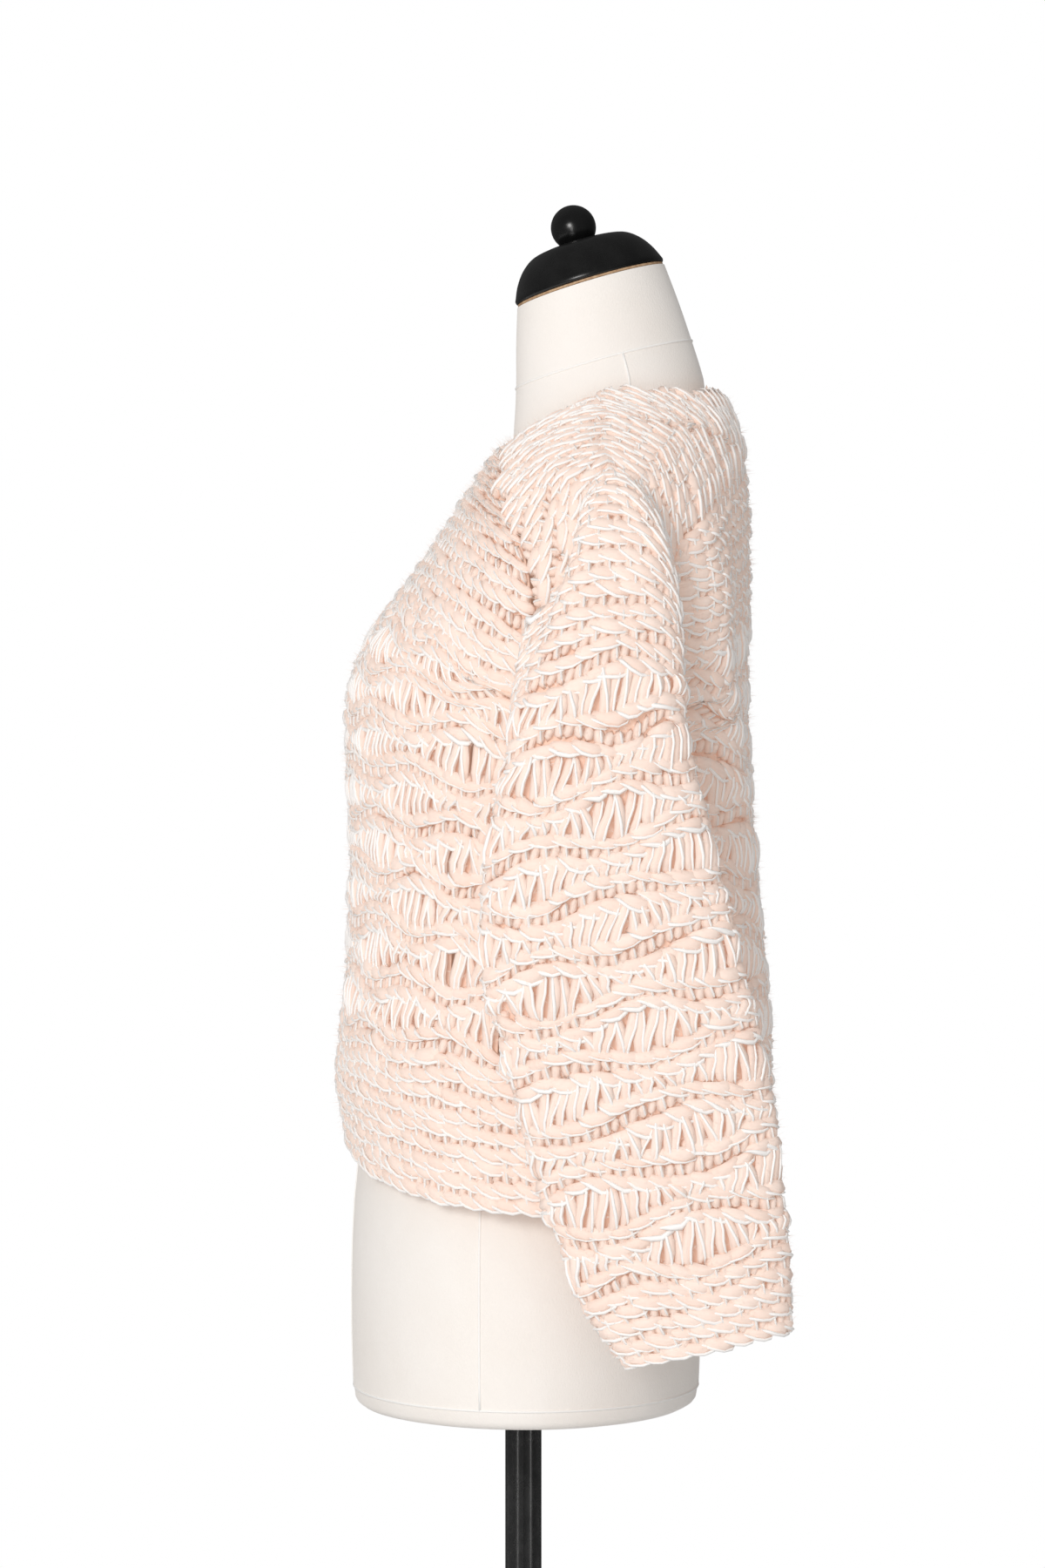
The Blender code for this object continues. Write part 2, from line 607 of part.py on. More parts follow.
def ring_of(front_y, front_z, half_width, side_y, side_z, back_y, back_z):
    ring = []
    for i in range(FORM_COLUMNS):
        turn = 2 * math.pi * i / FORM_COLUMNS
        cosine = math.cos(turn)
        end_y, end_z = (front_y, front_z) if cosine > 0 else (back_y, back_z)
        y = side_y + (end_y - side_y) * abs(cosine)
        z = side_z + (end_z - side_z) * abs(cosine)
        ring.append((half_width * math.sin(turn), y, z))
    return ring


def build_form(material):
    """The padded torso: one loft of rings from its flat underside to the top of its neck."""
    rings = [ring_of(front, z, half, side, z, back, z) for z, front, half, side, back in FORM]
    for front_z, side_z, back_z in FORM_SHOULDERS:
        ring = []
        for i in range(FORM_COLUMNS):
            turn = 2 * math.pi * i / FORM_COLUMNS
            at = turn if turn <= math.pi else 2 * math.pi - turn
            cosine = math.cos(at)
            z = side_z + ((front_z if cosine > 0 else back_z) - side_z) * abs(cosine)
            point = body_point(at, z) - body_normal(at, z) * FORM_CLEAR
            ring.append((point[0] if turn <= math.pi else -point[0], point[1], point[2]))
        rings.append(ring)
    for front_y, front_z, half, side_z, back_y, back_z in FORM_NECK:
        rings.append(ring_of(front_y, front_z, half, 0.5 * (front_y + back_y), side_z, back_y, back_z))
    count = FORM_COLUMNS
    faces = [tuple(range(count)), tuple((len(rings) - 1) * count + i for i in range(count))]
    for r in range(len(rings) - 1):
        for i in range(count):
            n = (i + 1) % count
            faces.append((r * count + i, r * count + n, (r + 1) * count + n, (r + 1) * count + i))
    return closed_mesh("form_torso", [p for ring in rings for p in ring], faces, material)


def build_turned(name, profile, steps, material, location, tilt):
    """A turned piece: its profile runs top to bottom down the outer side."""
    mesh = bpy.data.meshes.new(name)
    mesh.from_pydata([(r, 0.0, z) for r, z in profile], [(i, i + 1) for i in range(len(profile) - 1)], [])
    mesh.materials.append(material)
    obj = bpy.data.objects.new(name, mesh)
    parts.objects.link(obj)
    screw = obj.modifiers.new("turn", "SCREW")
    screw.steps = steps
    screw.render_steps = steps
    screw.use_merge_vertices = True
    screw.merge_threshold = 0.00005
    screw.use_smooth_shade = True
    obj.location = location
    obj.rotation_euler = (tilt, 0.0, 0.0)
    return obj


def arc(centre_r, centre_z, radius, start, end, steps):
    """Points of a circular arc in a profile, by degrees from +r."""
    points = []
    for i in range(steps + 1):
        turn = math.radians(start + (end - start) * i / steps)
        points.append((centre_r + radius * math.cos(turn), centre_z + radius * math.sin(turn)))
    return points


def build_neck_top(wood, black):
    """The bare wood ring, the black cap on it and the ball finial, on the tilted top of the neck."""
    ring_high = 0.0018
    build_turned("neck_ring", [(0, REST_GAP + ring_high), (0.0515, REST_GAP + ring_high),
                               (0.0515, REST_GAP), (0, REST_GAP)], 26, wood, CAP_CENTRE, CAP_TILT)
    low = ring_high + 2 * REST_GAP
    high = low + 0.0298
    dome = [(0, high), (0.013, high - 0.0002), (0.025, high - 0.0010), (0.034, high - 0.0032),
            (0.042, high - 0.0090), (0.0485, high - 0.0178), (CAP_RADIUS, low + 0.0022),
            (0.0520, low), (0, low)]
    build_turned("neck_cap", dome, 26, black, CAP_CENTRE, CAP_TILT)
    ball, ball_at = 0.0156, low + 0.0400
    foot = high + REST_GAP
    meet = math.degrees(math.asin((ball_at - foot) / ball))
    profile = [(0.0, ball_at + ball)] + arc(0, ball_at, ball, 70, -meet, 6) + [(0, foot)]
    build_turned("finial", profile, 16, black, CAP_CENTRE, CAP_TILT)


def build_stand(black):
    """The fluted pole under the torso and its round base."""
    top, low = FORM_BOTTOM - REST_GAP, BASE_RISE + REST_GAP
    body = bmesh.new()
    bmesh.ops.create_cone(body, cap_ends=True, segments=3 * FLUTES, radius1=POLE_RADIUS, radius2=POLE_RADIUS,
                          depth=top - low)
    for vertex in body.verts:
        place = round(math.degrees(math.atan2(vertex.co.y, vertex.co.x)) / (120 / FLUTES))
        if place % 3 == 0:
            vertex.co.xy *= (POLE_RADIUS - FLUTE_DEPTH) / POLE_RADIUS
    mesh = bpy.data.meshes.new("pole")
    body.to_mesh(mesh)
    body.free()
    mesh.materials.append(black)
    pole = bpy.data.objects.new("pole", mesh)
    pole.location = (0, 0, 0.5 * (top + low))
    parts.objects.link(pole)
    profile = [(0, BASE_RISE), (0.020, BASE_RISE), (0.024, 0.026), (0.042, 0.0180), (0.110, 0.0135)]
    profile += arc(BASE_RADIUS - 0.006, 0.006, 0.006, 70, -70, 4) + [(BASE_RADIUS - 0.008, 0.0), (0, 0.0)]
    build_turned("base", profile, 28, black, (0, 0, 0), 0.0)


def make_material(name):
    colour, roughness, metallic = COLOURS[name]
    material = bpy.data.materials.new(name)
    material.use_nodes = True
    shader = material.node_tree.nodes["Principled BSDF"]
    shader.inputs["Base Color"].default_value = colour
    shader.inputs["Roughness"].default_value = roughness
    shader.inputs["Metallic"].default_value = metallic
    return material


for old in list(bpy.data.objects):
    bpy.data.objects.remove(old, do_unlink=True)
parts = bpy.data.collections.new("knit_sweater")
bpy.context.scene.collection.children.link(parts)
cutters = bpy.data.collections.new("cutters")
bpy.context.scene.collection.children.link(cutters)
materials = {name: make_material(name) for name in COLOURS}
seams = seam_knots()

cut_eyes(build_panel("front", NECK_FRONT, HEM_FRONT, 0.0, front_spread, materials["yarn"]))
build_panel("back", BACK_TOP, HEM_BACK, math.pi, back_spread, materials["yarn"])
mirrored(build_yoke(materials["yarn"]), "yoke_right")
mirrored(build_sleeve(materials["yarn"]), "sleeve_right")
build_form(materials["cover"])
build_neck_top(materials["bare_wood"], materials["black_paint"])
build_stand(materials["black_paint"])
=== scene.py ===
# %% [markdown]
# # A chunky knit sweater on a dress form
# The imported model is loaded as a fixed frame, in metres, with +Z up, +X to the wearer's left and -Y to
# the front. The CAD walls hold the garment's shape. Here the yarn itself is laid on that shape: thick
# brushed wool held together with a thin white cord, knitted in ridges with rows of dropped stitches.

# %% Load the frame
import math

import bpy
import numpy as np
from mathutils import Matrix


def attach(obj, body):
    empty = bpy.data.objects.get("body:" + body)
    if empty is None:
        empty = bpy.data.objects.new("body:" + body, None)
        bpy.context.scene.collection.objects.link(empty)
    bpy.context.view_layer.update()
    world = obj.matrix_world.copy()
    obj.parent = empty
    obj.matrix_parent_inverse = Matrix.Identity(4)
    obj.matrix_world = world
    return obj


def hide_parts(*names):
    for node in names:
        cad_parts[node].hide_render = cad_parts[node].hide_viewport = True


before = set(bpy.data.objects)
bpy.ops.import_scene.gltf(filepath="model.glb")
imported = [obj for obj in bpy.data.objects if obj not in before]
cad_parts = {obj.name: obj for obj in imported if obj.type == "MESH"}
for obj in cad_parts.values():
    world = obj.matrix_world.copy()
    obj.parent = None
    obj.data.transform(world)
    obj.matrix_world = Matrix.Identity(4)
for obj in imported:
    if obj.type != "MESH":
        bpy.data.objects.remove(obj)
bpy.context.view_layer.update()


def add_object(name, data):
    """A new object that shows this data, in the scene."""
    obj = bpy.data.objects.new(name, data)
    bpy.context.scene.collection.objects.link(obj)
    return obj



# %% [markdown]
# ## The camera
# The photograph looks level at the wearer's left side from about 3.5 m, with a long lens, so that near
# and far parts keep almost the same scale. The camera comes first, because it frames all that follows.

# %% Camera
CAMERA_PLACE = (3.5, -0.0006, 1.155)
LENS, SENSOR = 116.67, 36.0     # millimetres, the sensor along the picture's long side

camera_data = bpy.data.cameras.new("camera")
camera_data.lens = LENS
camera_data.sensor_width = SENSOR
camera = add_object("camera", camera_data)
camera.location = CAMERA_PLACE
camera.rotation_euler = (math.radians(90), 0.0, math.radians(90))
bpy.context.scene.camera = camera

# %% [markdown]
# ## The shape of the garment
# The same sizes as in the CAD source: level sections of the body, the seam between the front and the
# shoulder piece, the seam of the back, the armhole, and the rings of the sleeve. A smooth curve runs
# through each column of a table, so that the cloth has no corners between its rows.

# %% Tables of sizes
WAVE = 0.0060             # how far the ridges wave up and down round the windows
PLAIN_COURSE = 0.0101
CLOSE_COURSE = 0.0117     # a plain course between two rows of windows
LENS_COURSE = 0.0228      # the mean height of a course with windows
NECK_FRONT, NECK_SIDE = 1.386, 1.424
HEM_FRONT, HEM_SIDE, HEM_BACK = 0.915, 0.879, 0.872
BACK_TOP = 1.378
UNDERARM = 1.190
TROUGH_DEPTH, TROUGH_WIDTH = 0.0240, 8    # metres, and degrees to each side
SLEEVE_TILT = 0.235       # how much the sleeve's rings rise toward the back
BEND_COURSES = 16         # courses of the sleeve down to the end of its bend

# Level sections of the body: height, front y, half width, y of the sides, back y
BODY = np.array([
    (0.860, -0.116, 0.196, 0.024, 0.171),
    (0.915, -0.120, 0.196, 0.024, 0.171),
    (0.950, -0.126, 0.196, 0.024, 0.169),
    (0.987, -0.124, 0.196, 0.025, 0.167),
    (1.023, -0.120, 0.196, 0.026, 0.164),
    (1.065, -0.118, 0.197, 0.027, 0.160),
    (1.125, -0.117, 0.197, 0.031, 0.156),
    (1.185, -0.120, 0.199, 0.037, 0.153),
    (1.221, -0.118, 0.202, 0.041, 0.152),
    (1.246, -0.110, 0.204, 0.044, 0.152),
    (1.269, -0.096, 0.204, 0.046, 0.153),
    (1.292, -0.079, 0.204, 0.048, 0.153),
    (1.317, -0.061, 0.202, 0.050, 0.153),
    (1.341, -0.045, 0.197, 0.052, 0.153),
    (1.355, -0.036, 0.190, 0.053, 0.152),
    (1.370, -0.026, 0.172, 0.054, 0.151),
    (1.386, -0.015, 0.145, 0.054, 0.149),
    (1.400, -0.003, 0.118, 0.055, 0.146),
    (1.412, +0.007, 0.096, 0.055, 0.142),
    (1.424, +0.016, 0.075, 0.055, 0.138),
    (1.440, +0.026, 0.050, 0.055, 0.130),
])

# Seam between the front and the shoulder piece, from the neck to the armhole: y, z
FRONT_SEAM = [(-0.009, 1.3880), (-0.016, 1.362), (-0.014, 1.338), (-0.004, 1.312),
              (0.002, 1.285), (0.003, 1.250), (0.002, 1.214)]
# Seam between the back and the shoulder piece, from the armhole to the centre back: degrees round, z
BACK_SEAM = [(115.7, 1.302), (123.0, 1.319), (133.0, 1.336), (144.0, 1.353),
             (156.0, 1.366), (168.0, 1.375), (180.0, BACK_TOP)]
# The armhole: y, z, and the degrees round the sleeve
ARMHOLE = [(0.0375, UNDERARM, 0), (0.022, 1.199, 38), (0.002, 1.214, 66), (0.025, 1.236, 90),
           (0.046, 1.257, 112), (0.042, 1.300, 134), (0.041, 1.342, 157), (0.056, 1.362, 182),
           (0.078, 1.350, 210), (0.094, 1.302, 246), (0.092, 1.250, 284), (0.075, 1.207, 322)]
# The sleeve's bend: share, outer x and z, inner x and z
BEND = np.array([
    (0.0, 0.1900, 1.3620, 0.1990, 1.1900),
    (0.2, 0.2190, 1.3430, 0.2012, 1.1885),
    (0.4, 0.2360, 1.3130, 0.2032, 1.1865),
    (0.6, 0.2460, 1.2730, 0.2050, 1.1840),
    (0.8, 0.2525, 1.2280, 0.2064, 1.1812),
    (1.0, 0.2570, 1.1785, 0.2075, 1.1785),
])
# The hanging sleeve: height, front y, back y, x next to the body, thickness across
HANG = np.array([
    (1.1785, -0.010, 0.103, 0.2075, 0.0495),
    (1.138, -0.021, 0.112, 0.2075, 0.0490),
    (1.088, -0.026, 0.124, 0.2070, 0.0480),
    (1.042, -0.024, 0.135, 0.2065, 0.0470),
    (0.997, -0.012, 0.146, 0.2060, 0.0450),
    (0.952, 0.000, 0.156, 0.2060, 0.0430),
    (0.907, 0.012, 0.163, 0.2060, 0.0410),
    (0.861, 0.028, 0.168, 0.2060, 0.0390),
    (0.826, 0.045, 0.171, 0.2060, 0.0380),
    (0.795, 0.064, 0.172, 0.2060, 0.0370),
])
# The trough behind the arm: height, degrees round the body, then the width and height of the roll beside it
BACK_TROUGH = np.array([
    (0.860, 160, 12, 0.000),
    (0.950, 157, 13, 0.000),
    (1.000, 150, 15, 0.002),
    (1.100, 137, 17, 0.006),
    (1.200, 121, 18, 0.013),
    (1.250, 115, 18, 0.016),
    (1.350, 112, 18, 0.016),
])
# Courses of a panel: plain ones above, pairs of a course of windows and a close one, and plain ones below
PANEL_COURSES = {"front": (12, 8, 8), "back": (9, 8, 8), "sleeve": (14, 11, 4)}
# How much lower the front's courses meet its side seam than its middle: shares of the length
FRONT_DROOP = [(0, 0.0), (0.04, 0.022), (0.09, 0.045), (0.17, 0.066), (0.30, 0.058), (0.42, 0.038),
               (0.60, 0.016), (0.78, 0.0), (1, 0.0)]

# %% Curves through the tables


def smooth_rows(table, at):
    """The table's other columns at these values of its first one, along smooth curves."""
    table = np.asarray(table, float)
    if table[0, 0] > table[-1, 0]:
        table = table[::-1]
    keys, values = table[:, 0], table[:, 1:]
    slopes = np.gradient(values, keys, axis=0)
    at = np.clip(at, keys[0], keys[-1])
    i = np.clip(np.searchsorted(keys, at) - 1, 0, len(keys) - 2)
    span = keys[i + 1] - keys[i]
    t = ((at - keys[i]) / span)[..., None]
    span = span[..., None]
    low = values[i] * (2 * t**3 - 3 * t**2 + 1) + slopes[i] * span * (t**3 - 2 * t**2 + t)
    high = values[i + 1] * (3 * t**2 - 2 * t**3) + slopes[i + 1] * span * (t**3 - t**2)
    return low + high


def smooth_columns(table, at):
    """The same, with each column of the table apart."""
    return np.moveaxis(smooth_rows(table, at), -1, 0)


def smooth_step(value):
    """An even S from 0 to 1, for values from 0 to 1."""
    value = np.clip(value, 0.0, 1.0)
    return value * value * (3 - 2 * value)


def body_points(turn, height):
    """Points of the body's outer surface: 0 is the front centre, pi/2 the left side, pi the back."""
    front, half_width, side, back = smooth_columns(BODY, height)
    reach = np.where(np.cos(turn) > 0, side - front, back - side)
    return np.stack([half_width * np.sin(turn), side - reach * np.cos(turn), height], axis=-1)


def round_of(y, height):
    """How far round the left half of the body a point with this y lies."""
    front, _, side, back = smooth_columns(BODY, np.asarray(height, float))
    reach = np.where(y < side, side - front, back - side)
    return np.arccos(np.clip((side - y) / reach, -1.0, 1.0))


def neck_height(turn):
    """The neckline dips at the front."""
    return NECK_SIDE - (NECK_SIDE - NECK_FRONT) * smooth_step(1 - turn / (0.5 * math.pi)) ** 0.8


def lengths_along(points):
    """How far along their line each of the points lies."""
    return np.concatenate([[0], np.cumsum(np.linalg.norm(np.diff(points, axis=0), axis=1))])


def finer(points, steps):
    """The same line through the points, as this many equal steps."""
    points = np.array(points)
    lengths = lengths_along(points)
    return smooth_rows(np.column_stack([lengths / lengths[-1], points]), np.linspace(0, 1, steps + 1))


# %% [markdown]
# ## A panel as a knitted surface
# Each panel is a grid of points. One way runs along its courses, as knitting does, and the other counts
# the courses from the top. Courses of dropped stitches are taller, and the ridges beside them wave, so
# that tall windows stand side by side like lenses. With such a grid a stitch can be laid anywhere.

# %% Knitted surface
FINE = 3                  # grid rows to a course
GRID_COLUMNS = 132


class Cloth:
    """A panel's surface: s runs along its courses from 0 to 1, and q counts the courses downward."""

    def __init__(self, points, closed=False):
        self.closed = closed
        self.courses = (len(points) - 1) // FINE
        across = np.gradient(points, axis=1)
        if closed:
            ends = 0.5 * (points[:, 1] - points[:, -2])
            across[:, 0] = ends
            across[:, -1] = ends
        down = np.gradient(points, axis=0)
        normals = np.cross(across, -down)
        normals /= np.linalg.norm(normals, axis=2, keepdims=True) + 1e-12
        speeds = [np.linalg.norm(across, axis=2) * (points.shape[1] - 1), np.linalg.norm(down, axis=2) * FINE]
        self.fields = np.concatenate([points, normals, np.stack(speeds, axis=2)], axis=2)

    def at(self, s, q):
        """Point, normal, metres to a unit of s and metres to a course, at each s and q."""
        rows, columns = self.fields.shape[0] - 1, self.fields.shape[1] - 1
        column = (s % 1.0 if self.closed else s) * columns
        row = q * FINE
        c = np.clip(np.floor(column).astype(int), 0, columns - 1)
        r = np.clip(np.floor(row).astype(int), 0, rows - 1)
        u, v = (column - c)[..., None], (row - r)[..., None]
        top = self.fields[r, c] * (1 - u) + self.fields[r, c + 1] * u
        low = self.fields[r + 1, c] * (1 - u) + self.fields[r + 1, c + 1] * u
        return top * (1 - v) + low * v

    def places(self, q, pitch):
        """Values of s along one course, evenly spaced by about this pitch."""
        s = np.linspace(0, 1, 241)
        speed = self.at(s, np.full_like(s, q))[:, 6]
        length = np.concatenate([[0], np.cumsum(0.5 * (speed[1:] + speed[:-1]) * np.diff(s))])
        count = max(1, round(length[-1] / pitch))
        return np.interp((np.arange(count) + 0.5) / count * length[-1], length, s)


def course_edges(kind):
    """The line above each course, as a share of the length, its wave there, and the courses with windows."""
    above, halves, below = PANEL_COURSES[kind]
    heights = [PLAIN_COURSE] * above + [LENS_COURSE, CLOSE_COURSE] * halves + [PLAIN_COURSE] * below
    edges = np.concatenate([[0], np.cumsum(heights)])
    waves = np.zeros(len(edges))
    for half in range(halves):
        way = 1 if half % 2 == 0 else -1
        first = above + 2 * half
        waves[first:first + 2] = (-way, way)
    last = above + 2 * halves
    for i, share in enumerate((0.75, 0.45, 0.2)):
        waves[above - 1 - i] = -share
        waves[last + i] = way * share
    return edges / edges[-1], waves, [above + 2 * half for half in range(halves)]


def wobble(s, q):
    """How far a course strays from an even line, in courses, as hand knitting does."""
    long_wave = 0.10 * np.sin(2 * math.pi * (2.3 * s + 0.37 * q))
    return long_wave + 0.07 * np.sin(2 * math.pi * (5.1 * s - 0.61 * q))


def soft_ridge(value, middle, width):
    """A smooth hump of height 1 at the middle, and nothing beyond the width."""
    return smooth_step(1 - np.abs(value - middle) / width)


def back_creases(points, turn):
    """The back hangs in a long roll behind each arm, with a deep trough between the roll and the sleeve."""
    degrees = np.degrees(np.where(turn > math.pi, 2 * math.pi - turn, turn))
    height = points[..., 2]
    spread = smooth_step((1.350 - height) / 0.07) * smooth_step((height - 0.88) / 0.12)
    trough_at, roll_width, roll_height = smooth_columns(BACK_TROUGH, height)
    roll = roll_height * soft_ridge(degrees, trough_at + 1.1 * roll_width, roll_width)
    trough = TROUGH_DEPTH * soft_ridge(degrees, trough_at, TROUGH_WIDTH)
    amount = (roll - trough) * spread
    outward = np.stack([np.sin(turn), -np.cos(turn), 0 * turn], axis=-1)
    return points + outward * amount[..., None]


def body_cloth(kind, side_knots, centre_turn, top, hem, fall_of, droop):
    """The front or the back: courses fall from the middle to the sides' seams."""
    edges, waves, _ = course_edges(kind)
    q = np.linspace(0, len(edges) - 1, FINE * (len(edges) - 1) + 1)[:, None]
    s = np.linspace(-1, 1, GRID_COLUMNS + 1)[None, :]
    share = np.interp(q, np.arange(len(edges)), edges)
    wave = np.interp(q, np.arange(len(edges)), waves)
    lower = share + np.interp(share, *np.array(droop).T)
    side_turn, side_height = smooth_columns(side_knots, lower)
    middle = top + (hem - top) * share
    height = middle + (side_height - middle) * fall_of(np.abs(s), share)
    fade = smooth_step((1 - np.abs(s)) * 12)
    drift = 0.35 * np.sin(2 * math.pi * (0.9 * s + q / 17)) + 0.25 * np.sin(2 * math.pi * (1.7 * s - q / 11))
    strength = 0.9 + 0.2 * np.sin(2 * math.pi * (1.3 * s + q / 13))
    height = height - wave * WAVE * strength * np.cos(6 * math.pi * s + drift) * fade
    turn = centre_turn + (side_turn - centre_turn) * np.abs(s) * (np.sign(s) if centre_turn == 0 else 1)
    if centre_turn > 0:
        turn = np.where(s > 0, 2 * centre_turn - turn, turn)
        return Cloth(back_creases(body_points(turn, height), turn + 0 * height))
    return Cloth(body_points(turn, height))


SIDE_SEAM_FROM = 0.397    # the share of the length at which a panel's edge reaches the side seam


def side_table(first_shares, first_points):
    """Where a panel's side edge lies: share of the length, turn, height. Its lower part is the side seam."""
    rows = [(share, *point) for share, point in zip(first_shares, first_points)]
    steps = 13
    for i in range(steps + 1):
        share = SIDE_SEAM_FROM + (1 - SIDE_SEAM_FROM) * i / steps
        rows.append((share, 0.5 * math.pi, UNDERARM - (UNDERARM - HEM_SIDE) * i / steps))
    return np.array(rows)


def front_fall(s, share):
    """High up, the courses are level over the middle and fall near the seam."""
    even = smooth_step((share - 0.5) / 0.5)
    return np.sin(0.5 * math.pi * s) * even + (1 - np.cos(0.5 * math.pi * s)) * (1 - even)


def back_fall(s, share):
    """The first course follows the yoke's seam, and lower ones level out."""
    seam = np.interp(s, np.linspace(0, 1, len(BACK_SEAM)), [z for _, z in BACK_SEAM][::-1])
    first = (BACK_TOP - seam) / (BACK_TOP - BACK_SEAM[0][1])
    return first + (np.sin(0.5 * math.pi * s) - first) * smooth_step(share / 0.3)


def chart(points):
    """Points given by y and z, as the turn round the body and the height."""
    return [(float(round_of(y, z)), z) for y, z in points]


front_knots = chart(finer(FRONT_SEAM, 7)) + chart([ARMHOLE[1][:2]])
front_shares = [0, 0.042, 0.084, 0.126, 0.168, 0.210, 0.251, 0.306, 0.360]
front = body_cloth("front", side_table(front_shares, front_knots), 0.0, NECK_FRONT, HEM_FRONT,
                   front_fall, FRONT_DROOP)
back_knots = chart([ARMHOLE[i][:2] for i in (9, 10, 11)])
back = body_cloth("back", side_table([0, 0.168, 0.306], back_knots), math.pi, BACK_TOP, HEM_BACK, back_fall,
                  [(0, 0.0), (1, 0.0)])
print("front and back:", front.fields.shape, back.fields.shape)

# %% [markdown]
# ## The sleeve and the shoulder piece
# The sleeve's courses are rings that turn from the slanted armhole to nearly level, so they lie close
# together under the arm. The shoulder piece, or yoke, is knitted the other way: its courses follow the
# edge of the armhole over the shoulder, each one a course's height further in, up to the neckline.

# %% Sleeve and yoke surfaces
SLEEVE_WAVES = 3          # windows round the sleeve
FIRST_WINDOW = 187        # degrees round the sleeve of the middle of one
YOKE_COURSES = 23


def armhole_ring(turn):
    """The armhole's line at these degrees round the sleeve."""
    knots = [(degrees, *body_points(round_of(y, z), np.asarray(z))) for y, z, degrees in ARMHOLE]
    before = [(row[0] - 360, *row[1:]) for row in knots[-3:]]
    after = [(row[0] + 360, *row[1:]) for row in knots[:3]]
    return smooth_rows(np.array(before + knots + after), turn)


def sleeve_cloth():
    """The left sleeve: rings that bend down from the armhole, then hang."""
    edges, waves, _ = course_edges("sleeve")
    q = np.linspace(0, len(edges) - 1, FINE * (len(edges) - 1) + 1)[:, None]
    turn = np.linspace(0, 360, 97)[None, :]
    share = np.interp(q, np.arange(len(edges)), edges)
    bend = np.clip(share / edges[BEND_COURSES], 0, 1)
    down = np.clip((share - edges[BEND_COURSES]) / (1 - edges[BEND_COURSES]), 0, 1)
    sine = np.sin(np.radians(turn))
    side = np.sign(sine) * np.abs(sine) ** 0.85
    width = 0.5 * (1 - np.cos(np.radians(turn)))
    height = HANG[0, 0] + (HANG[-1, 0] - HANG[0, 0]) * down
    front_y, back_y, in_x, thick = smooth_columns(HANG, height)
    y_hang = 0.5 * (front_y + back_y) - 0.5 * (back_y - front_y) * side
    tilt = SLEEVE_TILT * (y_hang - 0.5 * (front_y + back_y))
    hanging = np.stack([in_x + thick * width, y_hang, height + tilt], axis=-1)
    out_x, out_z, low_x, low_z = smooth_columns(BEND, bend)
    grown = smooth_step((bend - 0.1) / 0.9)
    hole = armhole_ring(turn)
    width_0 = (hole[..., 2] - UNDERARM) / (BEND[0, 2] - UNDERARM)
    x_0 = hole[..., 0] - (BEND[0, 3] + (BEND[0, 1] - BEND[0, 3]) * width_0)
    y = hole[..., 1] + (y_hang - hole[..., 1]) * grown
    part = width_0 + (width - width_0) * grown
    level = smooth_step(bend / 0.45)
    part_z = width_0 * (1 - level) + np.maximum(width, width_0 * (1 - grown)) ** 0.5 * level
    bent = np.stack([low_x + (out_x - low_x) * part + x_0 * (1 - bend) ** 2, y,
                     low_z + (out_z - low_z) * part_z + SLEEVE_TILT * grown * (y - 0.5 * (front_y + back_y))],
                    axis=-1)
    points = np.where((bend < 1)[..., None], bent, hanging)
    ring = points[(len(points) * 2) // 3]
    lengths = lengths_along(ring)
    around = lengths / lengths[-1] - np.interp(FIRST_WINDOW, turn[0], lengths / lengths[-1])
    wave = np.interp(q, np.arange(len(edges)), waves)
    room = smooth_step((q - BEND_COURSES + 5) / 3) * smooth_step(width * 3 + (q - BEND_COURSES) / 6)
    drift = 0.3 * np.sin(2 * math.pi * (around + q / 19)) + 0.3 * np.sin(2 * math.pi * (2 * around - q / 13))
    points[..., 2] -= wave * WAVE * room * np.cos(2 * math.pi * SLEEVE_WAVES * around[None] + drift)
    return Cloth(points, closed=True)


